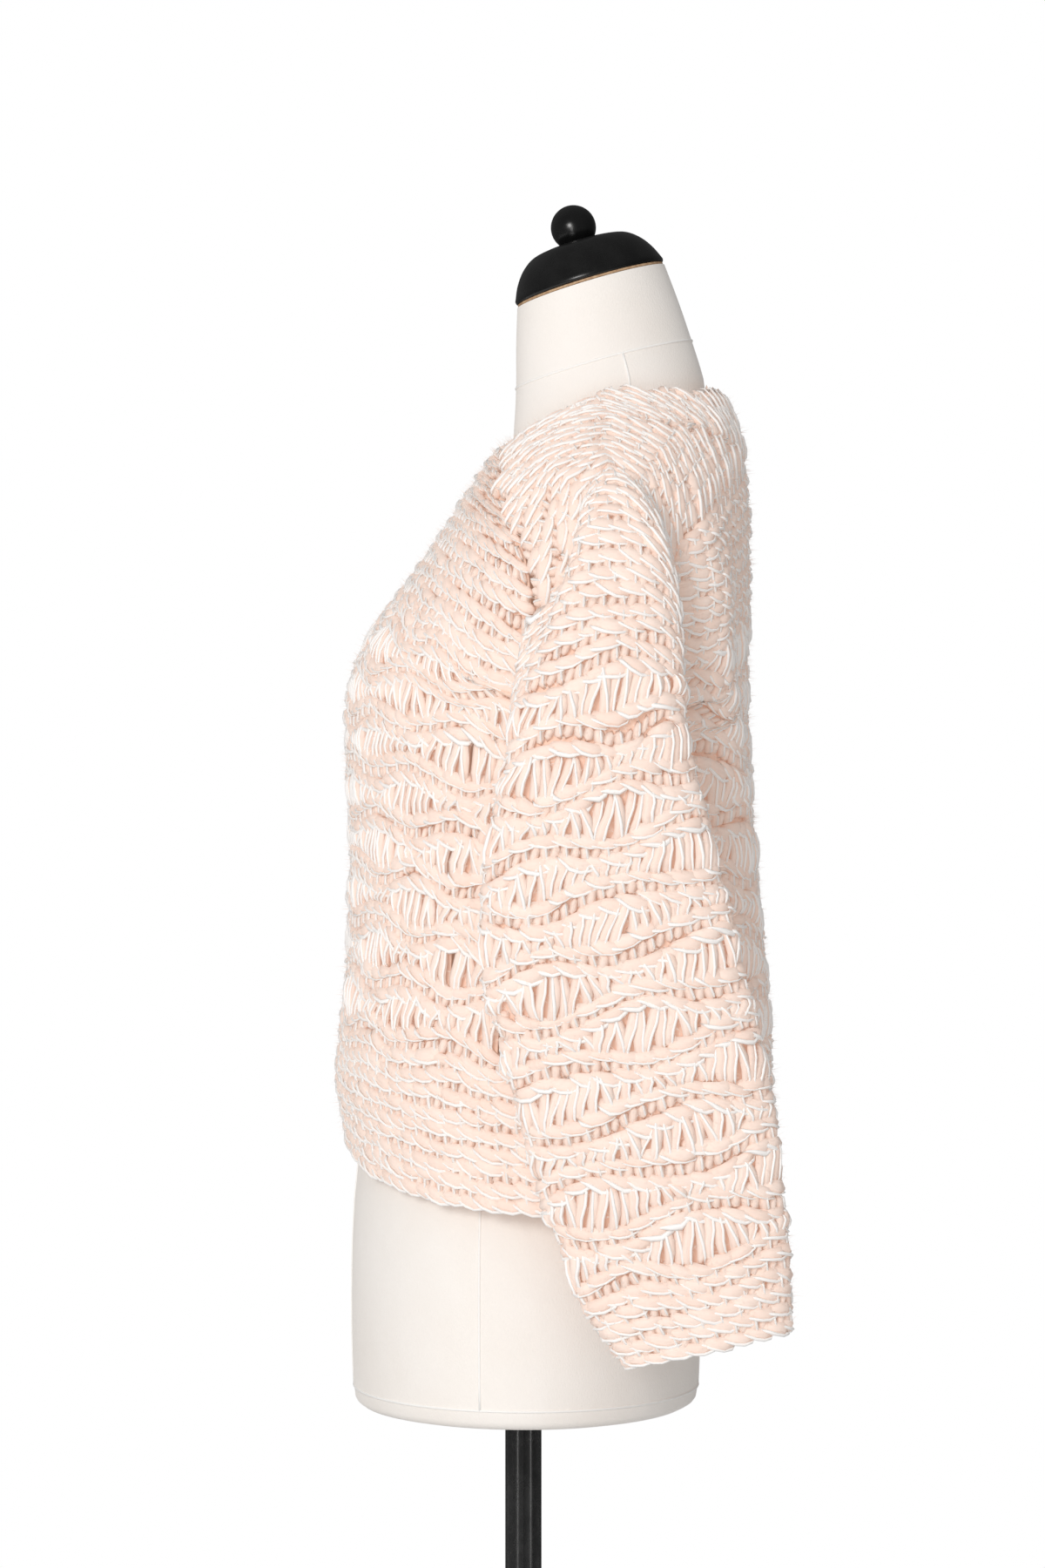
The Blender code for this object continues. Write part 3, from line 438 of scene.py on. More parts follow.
def yoke_cloth():
    """The left yoke, and for each of its grid's points how far it lies inside the inner edge."""
    columns = GRID_COLUMNS
    share = np.linspace(0, 1, columns + 1)
    seam = chart(finer(FRONT_SEAM, 7))
    first_turn = seam[0][0]
    neck_turns = first_turn + (math.pi - first_turn) * np.linspace(0, 1, 14)
    inner = np.array(seam[:0:-1] + [(turn, float(neck_height(turn))) for turn in neck_turns])
    outer = np.array(chart([row[:2] for row in ARMHOLE[4:10]]))
    start = np.array(chart([row[:2] for row in ARMHOLE[2:5]]))
    end = np.array([(math.pi, NECK_SIDE), (math.pi, BACK_TOP)])
    diagonal = np.array([(math.radians(degrees), z) for degrees, z in BACK_SEAM])[::-1]

    def along(line, at):
        places = np.linspace(0, 1, len(line))
        return np.column_stack([np.interp(at, places, line[:, i]) for i in (0, 1)])

    def end_at(b):
        return np.where((b < 0.25)[:, None], along(end, b / 0.25), along(diagonal, (b - 0.25) / 0.75))

    b = np.linspace(-0.1, 1, 111)
    inside = np.clip(b, 0, 1)
    a = share[:, None, None]
    edge_in, edge_out = along(inner, share)[:, None], along(outer, share)[:, None]
    edge_start, edge_end = along(start, inside)[None], end_at(inside)[None]
    b_3 = b[None, :, None]
    places = (1 - b_3) * edge_in + b_3 * edge_out + (1 - a) * edge_start + a * edge_end
    places = places - (1 - a) * (1 - b_3) * inner[0] - (1 - a) * b_3 * outer[0]
    places = places - a * (1 - b_3) * inner[-1] - a * b_3 * outer[-1]
    lines = body_points(places[..., 0], places[..., 1])
    steps = np.linalg.norm(np.diff(lines, axis=1), axis=2)
    summed = np.cumsum(steps[:, ::-1], axis=1)
    from_hole = np.concatenate([np.zeros((columns + 1, 1)), summed], axis=1)[:, ::-1]
    rows = YOKE_COURSES * FINE
    points, room = np.zeros((rows + 1, columns + 1, 3)), np.zeros((rows + 1, columns + 1))
    for c in range(columns + 1):
        far = np.linspace(YOKE_COURSES, 0, rows + 1) * PLAIN_COURSE
        edge = from_hole[c, 10]
        room[:, c] = edge - far
        for i in range(3):
            points[:, c, i] = np.interp(far, from_hole[c, ::-1], lines[c, ::-1, i])
        beyond = far > from_hole[c, 0]
        if beyond.any():
            way = (lines[c, 0] - lines[c, 1]) / max(steps[c, 0], 1e-6)
            points[beyond, c] = lines[c, 0] + way * (far[beyond] - from_hole[c, 0])[:, None]
    return Cloth(points), room


def mirrored(points):
    """The same surface on the wearer's right, still with its courses from left to right as seen."""
    return points[:, ::-1] * np.array([-1, 1, 1])


sleeve_left = sleeve_cloth()
sleeve_right = Cloth(mirrored(sleeve_left.fields[..., :3]), closed=True)
yoke_left, yoke_room = yoke_cloth()
yoke_right = Cloth(mirrored(yoke_left.fields[..., :3]))
print("sleeve and yoke:", sleeve_left.fields.shape, yoke_left.fields.shape)

# %% [markdown]
# ## One stitch, modelled once
# A stitch in this thick knitting shows four shapes. A fat lump of wool lies aslant along each ridge and
# overlaps the next. A thin white cord crosses it and follows its lower edge. Between two ridges short
# bars of wool show, and in a window of dropped stitches there are long loose strands. Each shape starts
# as a sphere primitive, whose rings are moved along a short path. It is then copied many times.

# %% Stitch shapes


def deselect():
    """A new primitive is then the only thing selected."""
    bpy.ops.object.select_all(action="DESELECT")


class Shape:
    """A shape's points, faces and texture places, kept to be copied."""

    def __init__(self, obj):
        mesh = obj.data
        self.points = np.array([vertex.co for vertex in mesh.vertices])
        self.corners = np.array([loop.vertex_index for loop in mesh.loops])
        self.totals = np.array([len(face.vertices) for face in mesh.polygons])
        self.uv = np.array([corner.uv for corner in mesh.uv_layers[0].data])
        bpy.data.objects.remove(obj, do_unlink=True)


def thread(path, sides, widths, depths=None):
    """A closed strand through the path's points, made of a sphere whose rings are moved along it.
    The widths and depths are half ones, at the points between its two ends, and a cord is round."""
    path = np.array(path, float)
    widths = [0, *widths, 0]
    depths = widths if depths is None else [0, *depths, 0]
    deselect()
    bpy.ops.mesh.primitive_uv_sphere_add(segments=sides, ring_count=len(path) - 1, radius=1.0)
    strand = bpy.context.object
    tangents = np.gradient(path, axis=0)
    tangents /= np.linalg.norm(tangents, axis=1, keepdims=True)
    out = np.array([0.0, 0.0, 1.0])
    for vertex in strand.data.vertices:
        ring = round(math.acos(max(-1.0, min(1.0, vertex.co.z))) / math.pi * (len(path) - 1))
        turn = math.atan2(vertex.co.y, vertex.co.x)
        up = out - tangents[ring] * (out @ tangents[ring])
        up /= np.linalg.norm(up)
        aside = np.cross(tangents[ring], up)
        vertex.co = path[ring] + aside * math.cos(turn) * widths[ring] + up * math.sin(turn) * depths[ring]
    return Shape(strand)


LUMP_PITCH = 0.0138
STRAND_PITCH = 0.0070
BAR_PITCH = 0.0066
LUMP_CORD = (0.00095, 0.00108, 0.00108, 0.00095)
STRAND_CORD = (0.0009, 0.00105, 0.00105, 0.0009)
STRAND_DEPTHS = (0.0020, 0.0024, 0.0024, 0.0020)

lump = thread([(-0.0126, 0.0038, -0.0036), (-0.0088, 0.0026, -0.0006), (-0.0030, 0.0004, 0.0010),
               (0.0030, -0.0010, 0.0010), (0.0088, -0.0008, -0.0004), (0.0128, 0.0010, -0.0036)],
              6, (0.0040, 0.0049, 0.0049, 0.0041), (0.0030, 0.0036, 0.0036, 0.0030))
lump_cord = thread([(-0.0124, 0.0028, 0.0008), (-0.0086, 0.0002, 0.0040), (-0.0032, -0.0030, 0.0044),
                    (0.0030, -0.0050, 0.0034), (0.0090, -0.0046, 0.0022), (0.0130, -0.0020, -0.0006)],
                   4, LUMP_CORD)
bar = thread([(0.0008, 0.0062, -0.0030), (0.0004, 0.0026, 0.0000), (-0.0004, -0.0026, 0.0000),
              (-0.0008, -0.0062, -0.0030)], 4, (0.0032, 0.0032), (0.0026, 0.0026))
bar_cord = thread([(0.0020, 0.0060, -0.0028), (0.0016, 0.0026, 0.0024), (0.0008, -0.0026, 0.0024),
                   (0.0004, -0.0060, -0.0028)], 3, (0.0011, 0.0011))
# The strands' heights are shares of the course that they cross. Some curve one way, some the other.
strand = thread([(0.0004, 0.56, -0.0030), (0.0018, 0.34, -0.0002), (0.0011, 0.10, 0.0006),
                 (-0.0013, -0.14, 0.0006), (-0.0021, -0.36, -0.0004), (-0.0002, -0.56, -0.0030)],
                5, (0.0031, 0.0038, 0.0037, 0.0029), STRAND_DEPTHS)
strand_cord = thread([(0.0024, 0.56, -0.0026), (0.0046, 0.34, 0.0014), (0.0038, 0.10, 0.0026),
                      (0.0012, -0.14, 0.0028), (0.0002, -0.36, 0.0018), (0.0012, -0.56, -0.0026)],
                     4, STRAND_CORD)
bowed = thread([(-0.0012, 0.56, -0.0030), (0.0006, 0.34, 0.0000), (0.0020, 0.10, 0.0009),
                (0.0020, -0.14, 0.0009), (0.0006, -0.36, -0.0002), (-0.0014, -0.56, -0.0030)],
               5, (0.0030, 0.0037, 0.0037, 0.0030), STRAND_DEPTHS)
bowed_cord = thread([(-0.0020, 0.56, -0.0026), (0.0000, 0.34, 0.0018), (0.0012, 0.10, 0.0034),
                     (0.0026, -0.14, 0.0033), (0.0030, -0.36, 0.0018), (0.0016, -0.56, -0.0026)],
                    4, STRAND_CORD)
print("faces of a lump, a cord, a bar, a strand:",
      [len(shape.totals) for shape in (lump, lump_cord, bar, strand)])

# %% [markdown]
# ## Laying stitches on the cloth
# A copy's own x runs along the course, y up the cloth and z out of it. Each of its points is looked up on
# the panel's grid, so that a stitch bends with the cloth, over the shoulder as well as on a flat side.
# Thousands of copies join in one mesh, and each keeps a number of its own that tints its colour.

# %% Lay and join


LOW_COURSE = 0.002        # where courses are packed closer than this, a copy stretches no further


def lay(cloth, shape, s, q, size, lean, lift, crosses=False):
    """Copies of a shape on the cloth. A shape that crosses a course has its height in courses."""
    here = cloth.at(s, q)
    size, lean = size[:, None], lean[:, None]
    x, y, z = (shape.points[:, i][None, :] * size for i in range(3))
    if crosses:
        up = shape.points[:, 1][None, :]
        x = x + lean * up * here[:, 7:8]
    else:
        x, y = x * np.cos(lean) - y * np.sin(lean), x * np.sin(lean) + y * np.cos(lean)
        up = y / np.maximum(here[:, 7:8], LOW_COURSE)
    surface = cloth.at(s[:, None] + x / here[:, 6:7], q[:, None] - up)
    return surface[..., :3] + surface[..., 3:6] * (z + np.asarray(lift).reshape(-1, 1))[..., None]


MOST_LENGTH = 0.029       # a longer copy is stretched
MOST_ABOVE = 0.0025       # how far a copy may stand above the neckline


def within_neckline(laid):
    """Drops the yoke's copies that are stretched, or that stand above the neckline."""
    kept = []
    for shape, copies in laid:
        length = np.ptp(copies, axis=1).max(axis=1)
        above = (copies[..., 2] - neck_height(round_of(copies[..., 1], copies[..., 2]))).max(axis=1)
        kept.append((shape, copies[(length < MOST_LENGTH) & (above < MOST_ABOVE)]))
    return kept


def join(name, laid, material, seed):
    """One mesh of many laid copies, with their texture places and a shade for each copy."""
    random = np.random.default_rng(seed)
    points, corners, totals, uvs, shades, first = [], [], [], [], [], 0
    for shape, copies in laid:
        count, size = len(copies), len(shape.points)
        if count == 0:
            continue
        points.append(copies.reshape(-1, 3))
        starts = first + np.arange(count)[:, None] * size
        corners.append((shape.corners[None, :] + starts).ravel())
        totals.append(np.tile(shape.totals, count))
        uvs.append((shape.uv[None] + random.random((count, 1, 2))).reshape(-1, 2))
        shades.append(np.repeat(random.random(count), size))
        first += count * size
    points, corners, totals = np.concatenate(points), np.concatenate(corners), np.concatenate(totals)
    mesh = bpy.data.meshes.new(name)
    mesh.vertices.add(len(points))
    mesh.vertices.foreach_set("co", points.ravel())
    mesh.loops.add(len(corners))
    mesh.loops.foreach_set("vertex_index", corners)
    mesh.polygons.add(len(totals))
    mesh.polygons.foreach_set("loop_start", np.concatenate([[0], np.cumsum(totals)[:-1]]))
    mesh.polygons.foreach_set("loop_total", totals)
    mesh.uv_layers.new(name="strand")
    mesh.uv_layers["strand"].data.foreach_set("uv", np.concatenate(uvs).ravel())
    mesh.attributes.new("shade", "FLOAT", "POINT")
    mesh.attributes["shade"].data.foreach_set("value", np.concatenate(shades))
    mesh.update(calc_edges=True)
    mesh.validate()
    mesh.shade_smooth()
    mesh.materials.append(material)
    return add_object(name, mesh)


# %% [markdown]
# ## Wool, cord and their finishes
# The wool is brushed and matt, with fibres that twist along each strand, and its colour varies a little
# from stitch to stitch. The cord is smooth, white and slightly shiny. Wool and cord both glow faintly, as
# painted light that lightens their own shade. Both read the strand's own texture places, so their fibres
# follow every bend.

# %% Materials


def new_material(name, colour, roughness):
    material = bpy.data.materials.new(name)
    material.use_nodes = True
    shader = material.node_tree.nodes["Principled BSDF"]
    shader.inputs["Base Color"].default_value = (*colour, 1.0)
    shader.inputs["Roughness"].default_value = roughness
    return material, material.node_tree, shader


def add_node(tree, kind, values=(), **settings):
    """A node of this kind. A value that is another node's output is linked, and any other is set."""
    node = tree.nodes.new("ShaderNode" + kind)
    for key, value in settings.items():
        setattr(node, key, value)
    for key, value in dict(values).items():
        if isinstance(value, bpy.types.NodeSocket):
            tree.links.new(value, node.inputs[key])
        else:
            node.inputs[key].default_value = value
    return node


def set_finish(shader, values):
    for key, value in values.items():
        shader.inputs[key].default_value = value


def tint(tree, shader, factor, stops):
    """Colours the shader by a factor, along a ramp between two stops: (position, colour)."""
    ramp = add_node(tree, "ValToRGB", {"Fac": factor})
    for element, (position, colour) in zip(ramp.color_ramp.elements, stops):
        element.position, element.color = position, (*colour, 1)
    tree.links.new(ramp.outputs["Color"], shader.inputs["Base Color"])


def add_bump(tree, shader, heights):
    """Bumps one after another: (height socket, depth in metres, strength)."""
    normal = None
    for height, depth, strength in heights:
        bump = add_node(tree, "Bump", {"Height": height, "Distance": depth, "Strength": strength})
        if normal is not None:
            tree.links.new(normal, bump.inputs["Normal"])
        normal = bump.outputs["Normal"]
    tree.links.new(normal, shader.inputs["Normal"])


def wool_material(name, pale, deep, glow):
    """Brushed wool. The glow stands for the light that loose wool passes into its own shadows."""
    material, tree, shader = new_material(name, pale, 0.92)
    places = add_node(tree, "TexCoord")
    shade = add_node(tree, "Attribute", attribute_name="shade")
    cloud = add_node(tree, "TexNoise", {"Vector": places.outputs["Object"], "Scale": 260.0, "Detail": 3.0,
                                        "Roughness": 0.6})
    halved = add_node(tree, "Math", {0: shade.outputs["Fac"], 1: 0.5}, operation="MULTIPLY")
    mixed = add_node(tree, "Math", {0: cloud.outputs["Fac"], 1: 0.5, 2: halved.outputs["Value"]},
                     operation="MULTIPLY_ADD")
    tint(tree, shader, mixed.outputs["Value"], [(0.15, deep), (0.85, pale)])
    fibres = add_node(tree, "Mapping", {"Vector": places.outputs["UV"], "Rotation": (0, 0, 0.5),
                                        "Scale": (5.0, 1.2, 1.0)})
    twist = add_node(tree, "TexNoise", {"Vector": fibres.outputs["Vector"], "Scale": 5.0, "Detail": 4.0,
                                        "Roughness": 0.7, "Distortion": 0.4})
    nap = add_node(tree, "TexNoise", {"Vector": places.outputs["Object"], "Scale": 1400.0, "Detail": 2.0})
    add_bump(tree, shader, [(twist.outputs["Fac"], 0.0010, 0.40), (nap.outputs["Fac"], 0.0004, 0.4)])
    set_finish(shader, {"Emission Color": (1.0, 0.68, 0.53, 1.0), "Emission Strength": glow,
                        "Sheen Weight": 0.25, "Sheen Roughness": 0.5, "Sheen Tint": (1.0, 0.93, 0.88, 1.0),
                        "Specular IOR Level": 0.15})
    return material


def cord_material():
    """Smooth white cord, whose plies twist along it. A faint painted glow lightens its shaded underside."""
    material, tree, shader = new_material("white_cord", (0.97, 0.96, 0.94), 0.42)
    places = add_node(tree, "TexCoord")
    ply = add_node(tree, "Mapping", {"Vector": places.outputs["UV"], "Rotation": (0, 0, 0.9),
                                     "Scale": (2.0, 9.0, 1.0)})
    wave = add_node(tree, "TexWave", {"Vector": ply.outputs["Vector"], "Scale": 1.4, "Distortion": 0.6})
    tint(tree, shader, wave.outputs["Fac"], [(0.0, (0.93, 0.90, 0.87)), (0.4, (0.98, 0.97, 0.96))])
    add_bump(tree, shader, [(wave.outputs["Fac"], 0.0002, 0.6)])
    # Painted glow: this emission lightens the cord's shaded underside, and the cord is no lamp.
    set_finish(shader, {"Emission Color": (1.0, 0.90, 0.82, 1.0), "Emission Strength": 0.10})
    return material


wool = wool_material("brushed_wool", (0.93, 0.785, 0.705), (0.89, 0.71, 0.62), 0.10)
# The ground's colours are darker than the yarn's as painted shade in the gaps, and its stronger glow is
# painted light.
shaded_ground_wool = wool_material("shaded_ground_wool", (0.88, 0.69, 0.58), (0.82, 0.61, 0.50), 0.14)
fuzz_wool = wool_material("loose_fibres", (0.95, 0.85, 0.79), (0.92, 0.78, 0.70), 0.05)
white_cord = cord_material()

# %% [markdown]
# ## The knitted panels
# Every panel gets a thin ground of cloth, then its yarn in one piece and its cord in another, so that
# each finish stays a piece of its own. Ridges follow the lines between courses. Under the arm the rings
# of the sleeve are packed, so only as many stitches are laid there as the wool has room for.

# %% Lay a panel's yarn
MIDDLE_OF_ROPE = -0.0018    # the ridges' middle, below the panel's outer surface
LEAST_COURSE = 0.0078
SEAM_SINK = 0.0020          # a panel's first ridge is drawn into its seam
STITCH_INSIDE = 0.0065      # how far inside the yoke's neckline and seams its stitches start
BAR_LIFT = -0.0012
EVEN, SOME = 1.0, 0.07      # stitches' sizes: their mean and spread


def room_for(cloth, s, q, depth):
    """True where a stitch has room: inside the yoke, or below the ridge before it in packed courses."""
    if depth is not None:
        return depth(s, q) > STITCH_INSIDE
    if not cloth.closed or q > BEND_COURSES + 2:
        return np.ones(len(s), bool)
    height = cloth.at(s, np.full_like(s, q))[:, 7]
    step = np.minimum(height / LEAST_COURSE, 1.0)
    return np.floor(q * step) != np.floor((q - 1) * step)


def opened(s, course, eyes):
    """Strands that stand in an eye of this course are moved to its sides."""
    for eye_course, eye_s, half in eyes:
        if eye_course == course:
            near = s - eye_s
            s = s + np.sign(near) * np.maximum(0, half - np.abs(near)) * 0.9
    return s


def knit(cloth, name, lens, seed, depth, eyes):
    """Lays a panel's ridges, bars, dropped strands and cords, and returns the wool and the cord."""
    random = np.random.default_rng(seed)
    wool_copies, cord_copies = [], []
    for q in range(cloth.courses + 1):
        s = cloth.places(q, LUMP_PITCH)
        s = s[room_for(cloth, s, q, depth)]
        if len(s) == 0:
            continue
        row = q + wobble(s, q) * (0 < q < cloth.courses) + random.normal(0, 0.04, len(s))
        size = random.normal(EVEN, SOME, len(s))
        lean = random.normal(0.03, 0.08, len(s))
        lift = MIDDLE_OF_ROPE + random.normal(0, 0.0004, len(s)) - SEAM_SINK * (q == 0)
        wool_copies.append((lump, lay(cloth, lump, s, row, size, lean, lift)))
        lean = lean + random.normal(0, 0.06, len(s))
        lift = lift + np.minimum(random.normal(0, 0.0007, len(s)), 0.0004)
        cord_copies.append((lump_cord, lay(cloth, lump_cord, s, row, size, lean, lift)))
    for q in range(cloth.courses):
        dropped = q in lens
        s = cloth.places(q + 0.5, STRAND_PITCH if dropped else BAR_PITCH)
        s = s[room_for(cloth, s, q + 0.5, depth)]
        if len(s) == 0:
            continue
        row = q + 0.5 + wobble(s, q + 0.5)
        size = random.normal(EVEN, SOME, len(s))
        if dropped:
            s = opened(s, q, eyes)
            lean = random.normal(0.04, 0.12, len(s)) + 0.10 * np.sin(40 * s + 1.7 * q)
            lift = random.normal(-0.0004, 0.0006, len(s))
            curved = random.random(len(s)) < 0.6
            for some, wool_shape, cord_shape in ((curved, strand, strand_cord), (~curved, bowed, bowed_cord)):
                laid = (s[some], row[some], size[some], lean[some], lift[some], True)
                wool_copies.append((wool_shape, lay(cloth, wool_shape, *laid)))
                cord_copies.append((cord_shape, lay(cloth, cord_shape, *laid)))
        else:
            lean = np.where(np.arange(len(s)) % 2 == 0, 0.22, -0.22) + random.normal(0, 0.05, len(s))
            wool_copies.append((bar, lay(cloth, bar, s, row, size, lean, BAR_LIFT)))
            laid = (values[::2] for values in (s, row, size, lean))
            cord_copies.append((bar_cord, lay(cloth, bar_cord, *laid, BAR_LIFT)))
    if depth is not None:
        wool_copies, cord_copies = within_neckline(wool_copies), within_neckline(cord_copies)
    return (join(name + "_wool", wool_copies, wool, seed + 1),
            join(name + "_cord", cord_copies, white_cord, seed + 2))


# %% [markdown]
# ## The ground behind the stitches
# Behind the ridges the real cloth closes up in shadow. A thin shell of wool, a little deeper than the yarn,
# stands for that. Its colours are darker than the yarn's as painted shade, and its glow is stronger painted
# light. It starts as a plane primitive of many squares, whose points are moved on to the panel's surface,
# and Solidify gives it two sides.

# %% Make a ground
GROUND_DEPTH = 0.0040
GROUND_THICK = 0.0014
GROUND_INSIDE = 0.003     # how far inside the yoke's neckline and seams its ground starts
MERGE = 0.0002            # points closer than this become one


def select_none(kind):
    """Leaves nothing selected in the active mesh, so that the code can select its faces, edges or points."""
    bpy.ops.object.mode_set(mode="EDIT")
    bpy.ops.mesh.select_mode(type=kind)
    bpy.ops.mesh.select_all(action="DESELECT")
    bpy.ops.object.mode_set(mode="OBJECT")


def ground(cloth, name, columns, rows, depth, holes):
    deselect()
    bpy.ops.mesh.primitive_grid_add(x_subdivisions=columns, y_subdivisions=rows, size=2.0)
    sheet = bpy.context.object
    sheet.name = sheet.data.name = name
    grid = np.array([vertex.co for vertex in sheet.data.vertices])
    s, q = 0.5 + 0.5 * grid[:, 0], (0.5 - 0.5 * grid[:, 1]) * cloth.courses
    here = cloth.at(np.clip(s, 0, 0.99999) if cloth.closed else s, q)
    surface = here[:, :3] - here[:, 3:6] * GROUND_DEPTH
    sheet.data.vertices.foreach_set("co", surface.ravel())
    select_none("FACE")
    outside = np.zeros(len(s), bool) if depth is None else depth(s, q) < GROUND_INSIDE
    for face in sheet.data.polygons:
        corners = list(face.vertices)
        middle_s, middle_q = s[corners].mean(), q[corners].mean()
        in_hole = any(abs(middle_s - hole_s) < half and abs(middle_q - hole_q) < tall
                      for hole_s, hole_q, half, tall in holes)
        face.select = bool(outside[corners].any()) or in_hole
    bpy.ops.object.mode_set(mode="EDIT")
    bpy.ops.mesh.delete(type="FACE")
    bpy.ops.mesh.select_all(action="SELECT")
    if cloth.closed:
        bpy.ops.mesh.remove_doubles(threshold=MERGE)
    bpy.ops.object.mode_set(mode="OBJECT")
    wall = sheet.modifiers.new("wall", "SOLIDIFY")
    wall.thickness = GROUND_THICK
    wall.offset = -1.0
    bpy.ops.object.modifier_apply(modifier="wall")
    sheet.data.shade_smooth()
    sheet.data.materials.append(shaded_ground_wool)
    return sheet


# %% [markdown]
# ## Loose fibres
# Brushed wool has a halo of fine hairs, which softens every edge against the light. Each hair is one
# very thin triangle that stands out of the cloth and leans at random.

# %% Make the halo
HAIR_WIDTH = 0.00016      # half of it, at the root
HAIR_LENGTHS = (0.004, 0.0110)


def halo(cloth, name, count, seed, depth):
    random = np.random.default_rng(seed)
    tries = count * 4
    s, q = random.random(tries), random.random(tries) * cloth.courses
    here = cloth.at(s, q)
    area = here[:, 6] * here[:, 7]
    kept = random.random(tries) < area / np.percentile(area, 98)
    if depth is not None:
        kept &= depth(s, q) > STITCH_INSIDE
    here = here[kept][:count]
    count = len(here)
    normal = here[:, 3:6]
    aside = random.normal(size=(count, 3))
    aside -= normal * (aside * normal).sum(axis=1, keepdims=True)
    aside /= np.linalg.norm(aside, axis=1, keepdims=True)
    root = here[:, :3] + normal * random.uniform(-0.001, 0.0016, (count, 1))
    length = random.uniform(*HAIR_LENGTHS, (count, 1))
    rise = random.uniform(0.15, 0.85, (count, 1))
    tip = root + (aside * (1 - rise) + normal * rise) * length
    side = np.cross(aside, normal) * HAIR_WIDTH
    points = np.stack([root - side, root + side, tip], axis=1).reshape(-1, 3)
    mesh = bpy.data.meshes.new(name)
    mesh.from_pydata(points, [], np.arange(len(points)).reshape(-1, 3))
    mesh.attributes.new("shade", "FLOAT", "POINT")
    mesh.attributes["shade"].data.foreach_set("value", np.repeat(random.random(count), 3))
    mesh.uv_layers.new(name="strand")
    mesh.materials.append(fuzz_wool)
    return add_object(name, mesh)


# %% [markdown]
# ## Knitting all six panels
# A few windows of the front are open eyes: their strands stand aside and the ground has a hole there.
# The yoke stops at its neckline and seams, so each place on it is looked up in its table of depths. Along
# the neckline two more ridges close the edges of the panels, as a picked-up edge does.

# %% Eyes, depths and edges
# Course, place in sixths of the half width from the middle, and width of the strands' gap
EYES = [(16, 4.20, 0.0050), (20, 3.85, 0.0055), (24, 3.95, 0.0050), (26, 4.90, 0.0046)]
EYE_SPARE = 0.0026        # a strand's half width, by which it stands back from an eye
HOLE_WIDTH, HOLE_HEIGHT = 0.75, 0.42    # a share of the eye's width, and half the height in courses
EDGE_TURNS = [0.0, 0.5, 0.9, 1.9, 2.6, math.pi]
EDGE_LIFTS = [-0.0078, -0.0070, -0.0032, -0.0032, -0.0090, -0.0090]
EDGE_PITCH = 0.0125
EDGE_STRIP = [0.0050, 0.0017, -0.0017, -0.0050]     # heights of the strip of cloth that carries an edge


def yoke_depth(flip):
    """A function that tells how far a place on the yoke lies inside its neckline and seams."""
    rows, columns = yoke_room.shape

    def depth(s, q):
        column = np.round((1 - s if flip else s) * (columns - 1)).astype(int)
        row = np.round(np.asarray(q) * FINE).astype(int)
        return yoke_room[np.clip(row, 0, rows - 1), np.clip(column, 0, columns - 1)]
    return depth


def eye_places():
    """The eyes as (course, s, half width in s), and as holes in the ground."""
    strands, holes = [], []
    for course, column, width in EYES:
        for side in (-1, 1):
            s = 0.5 + 0.5 * side * column / 6
            speed = front.at(np.array([s]), np.array([course + 0.5]))[0, 6]
            strands.append((course, s, (0.5 * width + EYE_SPARE) / speed))
            holes.append((s, course + 0.5, HOLE_WIDTH * width / speed, HOLE_HEIGHT))
    return strands, holes


def rope(name, turns, heights, seed):
    """One more ridge along a free edge of the body, at these places round it."""
    apart = np.array(EDGE_STRIP)[:, None]
    strip = Cloth(body_points(turns[None, :] + 0 * apart, heights[None, :] + apart))
    random = np.random.default_rng(seed)
    s = strip.places(0.5, EDGE_PITCH)
    row = np.full_like(s, 0.5)
    size = random.normal(1.08, 0.06, len(s))
    lean = random.normal(0.02, 0.06, len(s))
    turn = np.abs(np.interp(s, np.linspace(0, 1, len(turns)), turns))
    lift = np.interp(turn, EDGE_TURNS, EDGE_LIFTS)
    wool_laid = [(lump, lay(strip, lump, s, row, size, lean, lift))]
    cord_laid = [(lump_cord, lay(strip, lump_cord, s, row, size, lean, lift))]
    return [join(name + "_wool", wool_laid, wool, seed),
            join(name + "_cord", cord_laid, white_cord, seed + 1)]


around_neck = np.linspace(-math.pi, math.pi, 241)
edge_pieces = []
for name, below, seed in (("neckline", 0.0074, 90), ("neckline_fold", 0.0150, 93)):
    edge_pieces += rope(name, around_neck, neck_height(np.abs(around_neck)) - below, seed)
for piece in edge_pieces:
    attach(piece, "root")

# %% Panels
eye_strands, eye_holes = eye_places()
windows = {kind: course_edges(kind)[2] for kind in PANEL_COURSES}
BODY_CUT, SLEEVE_CUT, YOKE_CUT = (0.54, 0.50), (0.33, 0.56), (0.36, 0.20)
PANELS = [
    # name, surface, windows, ground's columns and rows, hairs, flat size, depths, eyes, holes in the ground
    ("front", front, windows["front"], 96, 88, 20000, BODY_CUT, None, eye_strands, eye_holes),
    ("back", back, windows["back"], 48, 66, 18000, BODY_CUT, None, (), ()),
    ("sleeve_left", sleeve_left, windows["sleeve"], 32, 75, 16000, SLEEVE_CUT, None, (), ()),
    ("sleeve_right", sleeve_right, windows["sleeve"], 32, 75, 16000, SLEEVE_CUT, None, (), ()),
    ("yoke_left", yoke_left, (), 60, 69, 6000, YOKE_CUT, yoke_depth(False), (), ()),
    ("yoke_right", yoke_right, (), 60, 69, 6000, YOKE_CUT, yoke_depth(True), (), ()),
]

for number, (name, cloth, lens, columns, rows, hairs, cut, depth, eyes, holes) in enumerate(PANELS):
    wool_piece, cord_piece = knit(cloth, name, lens, 10 * number, depth, eyes)
    fuzz_piece = halo(cloth, name + "_fuzz", hairs, 10 * number + 5, depth)
    ground_piece = ground(cloth, name + "_ground", columns, rows, depth, holes)
    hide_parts(name)
    for piece in (wool_piece, cord_piece, fuzz_piece, ground_piece):
        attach(piece, "root")

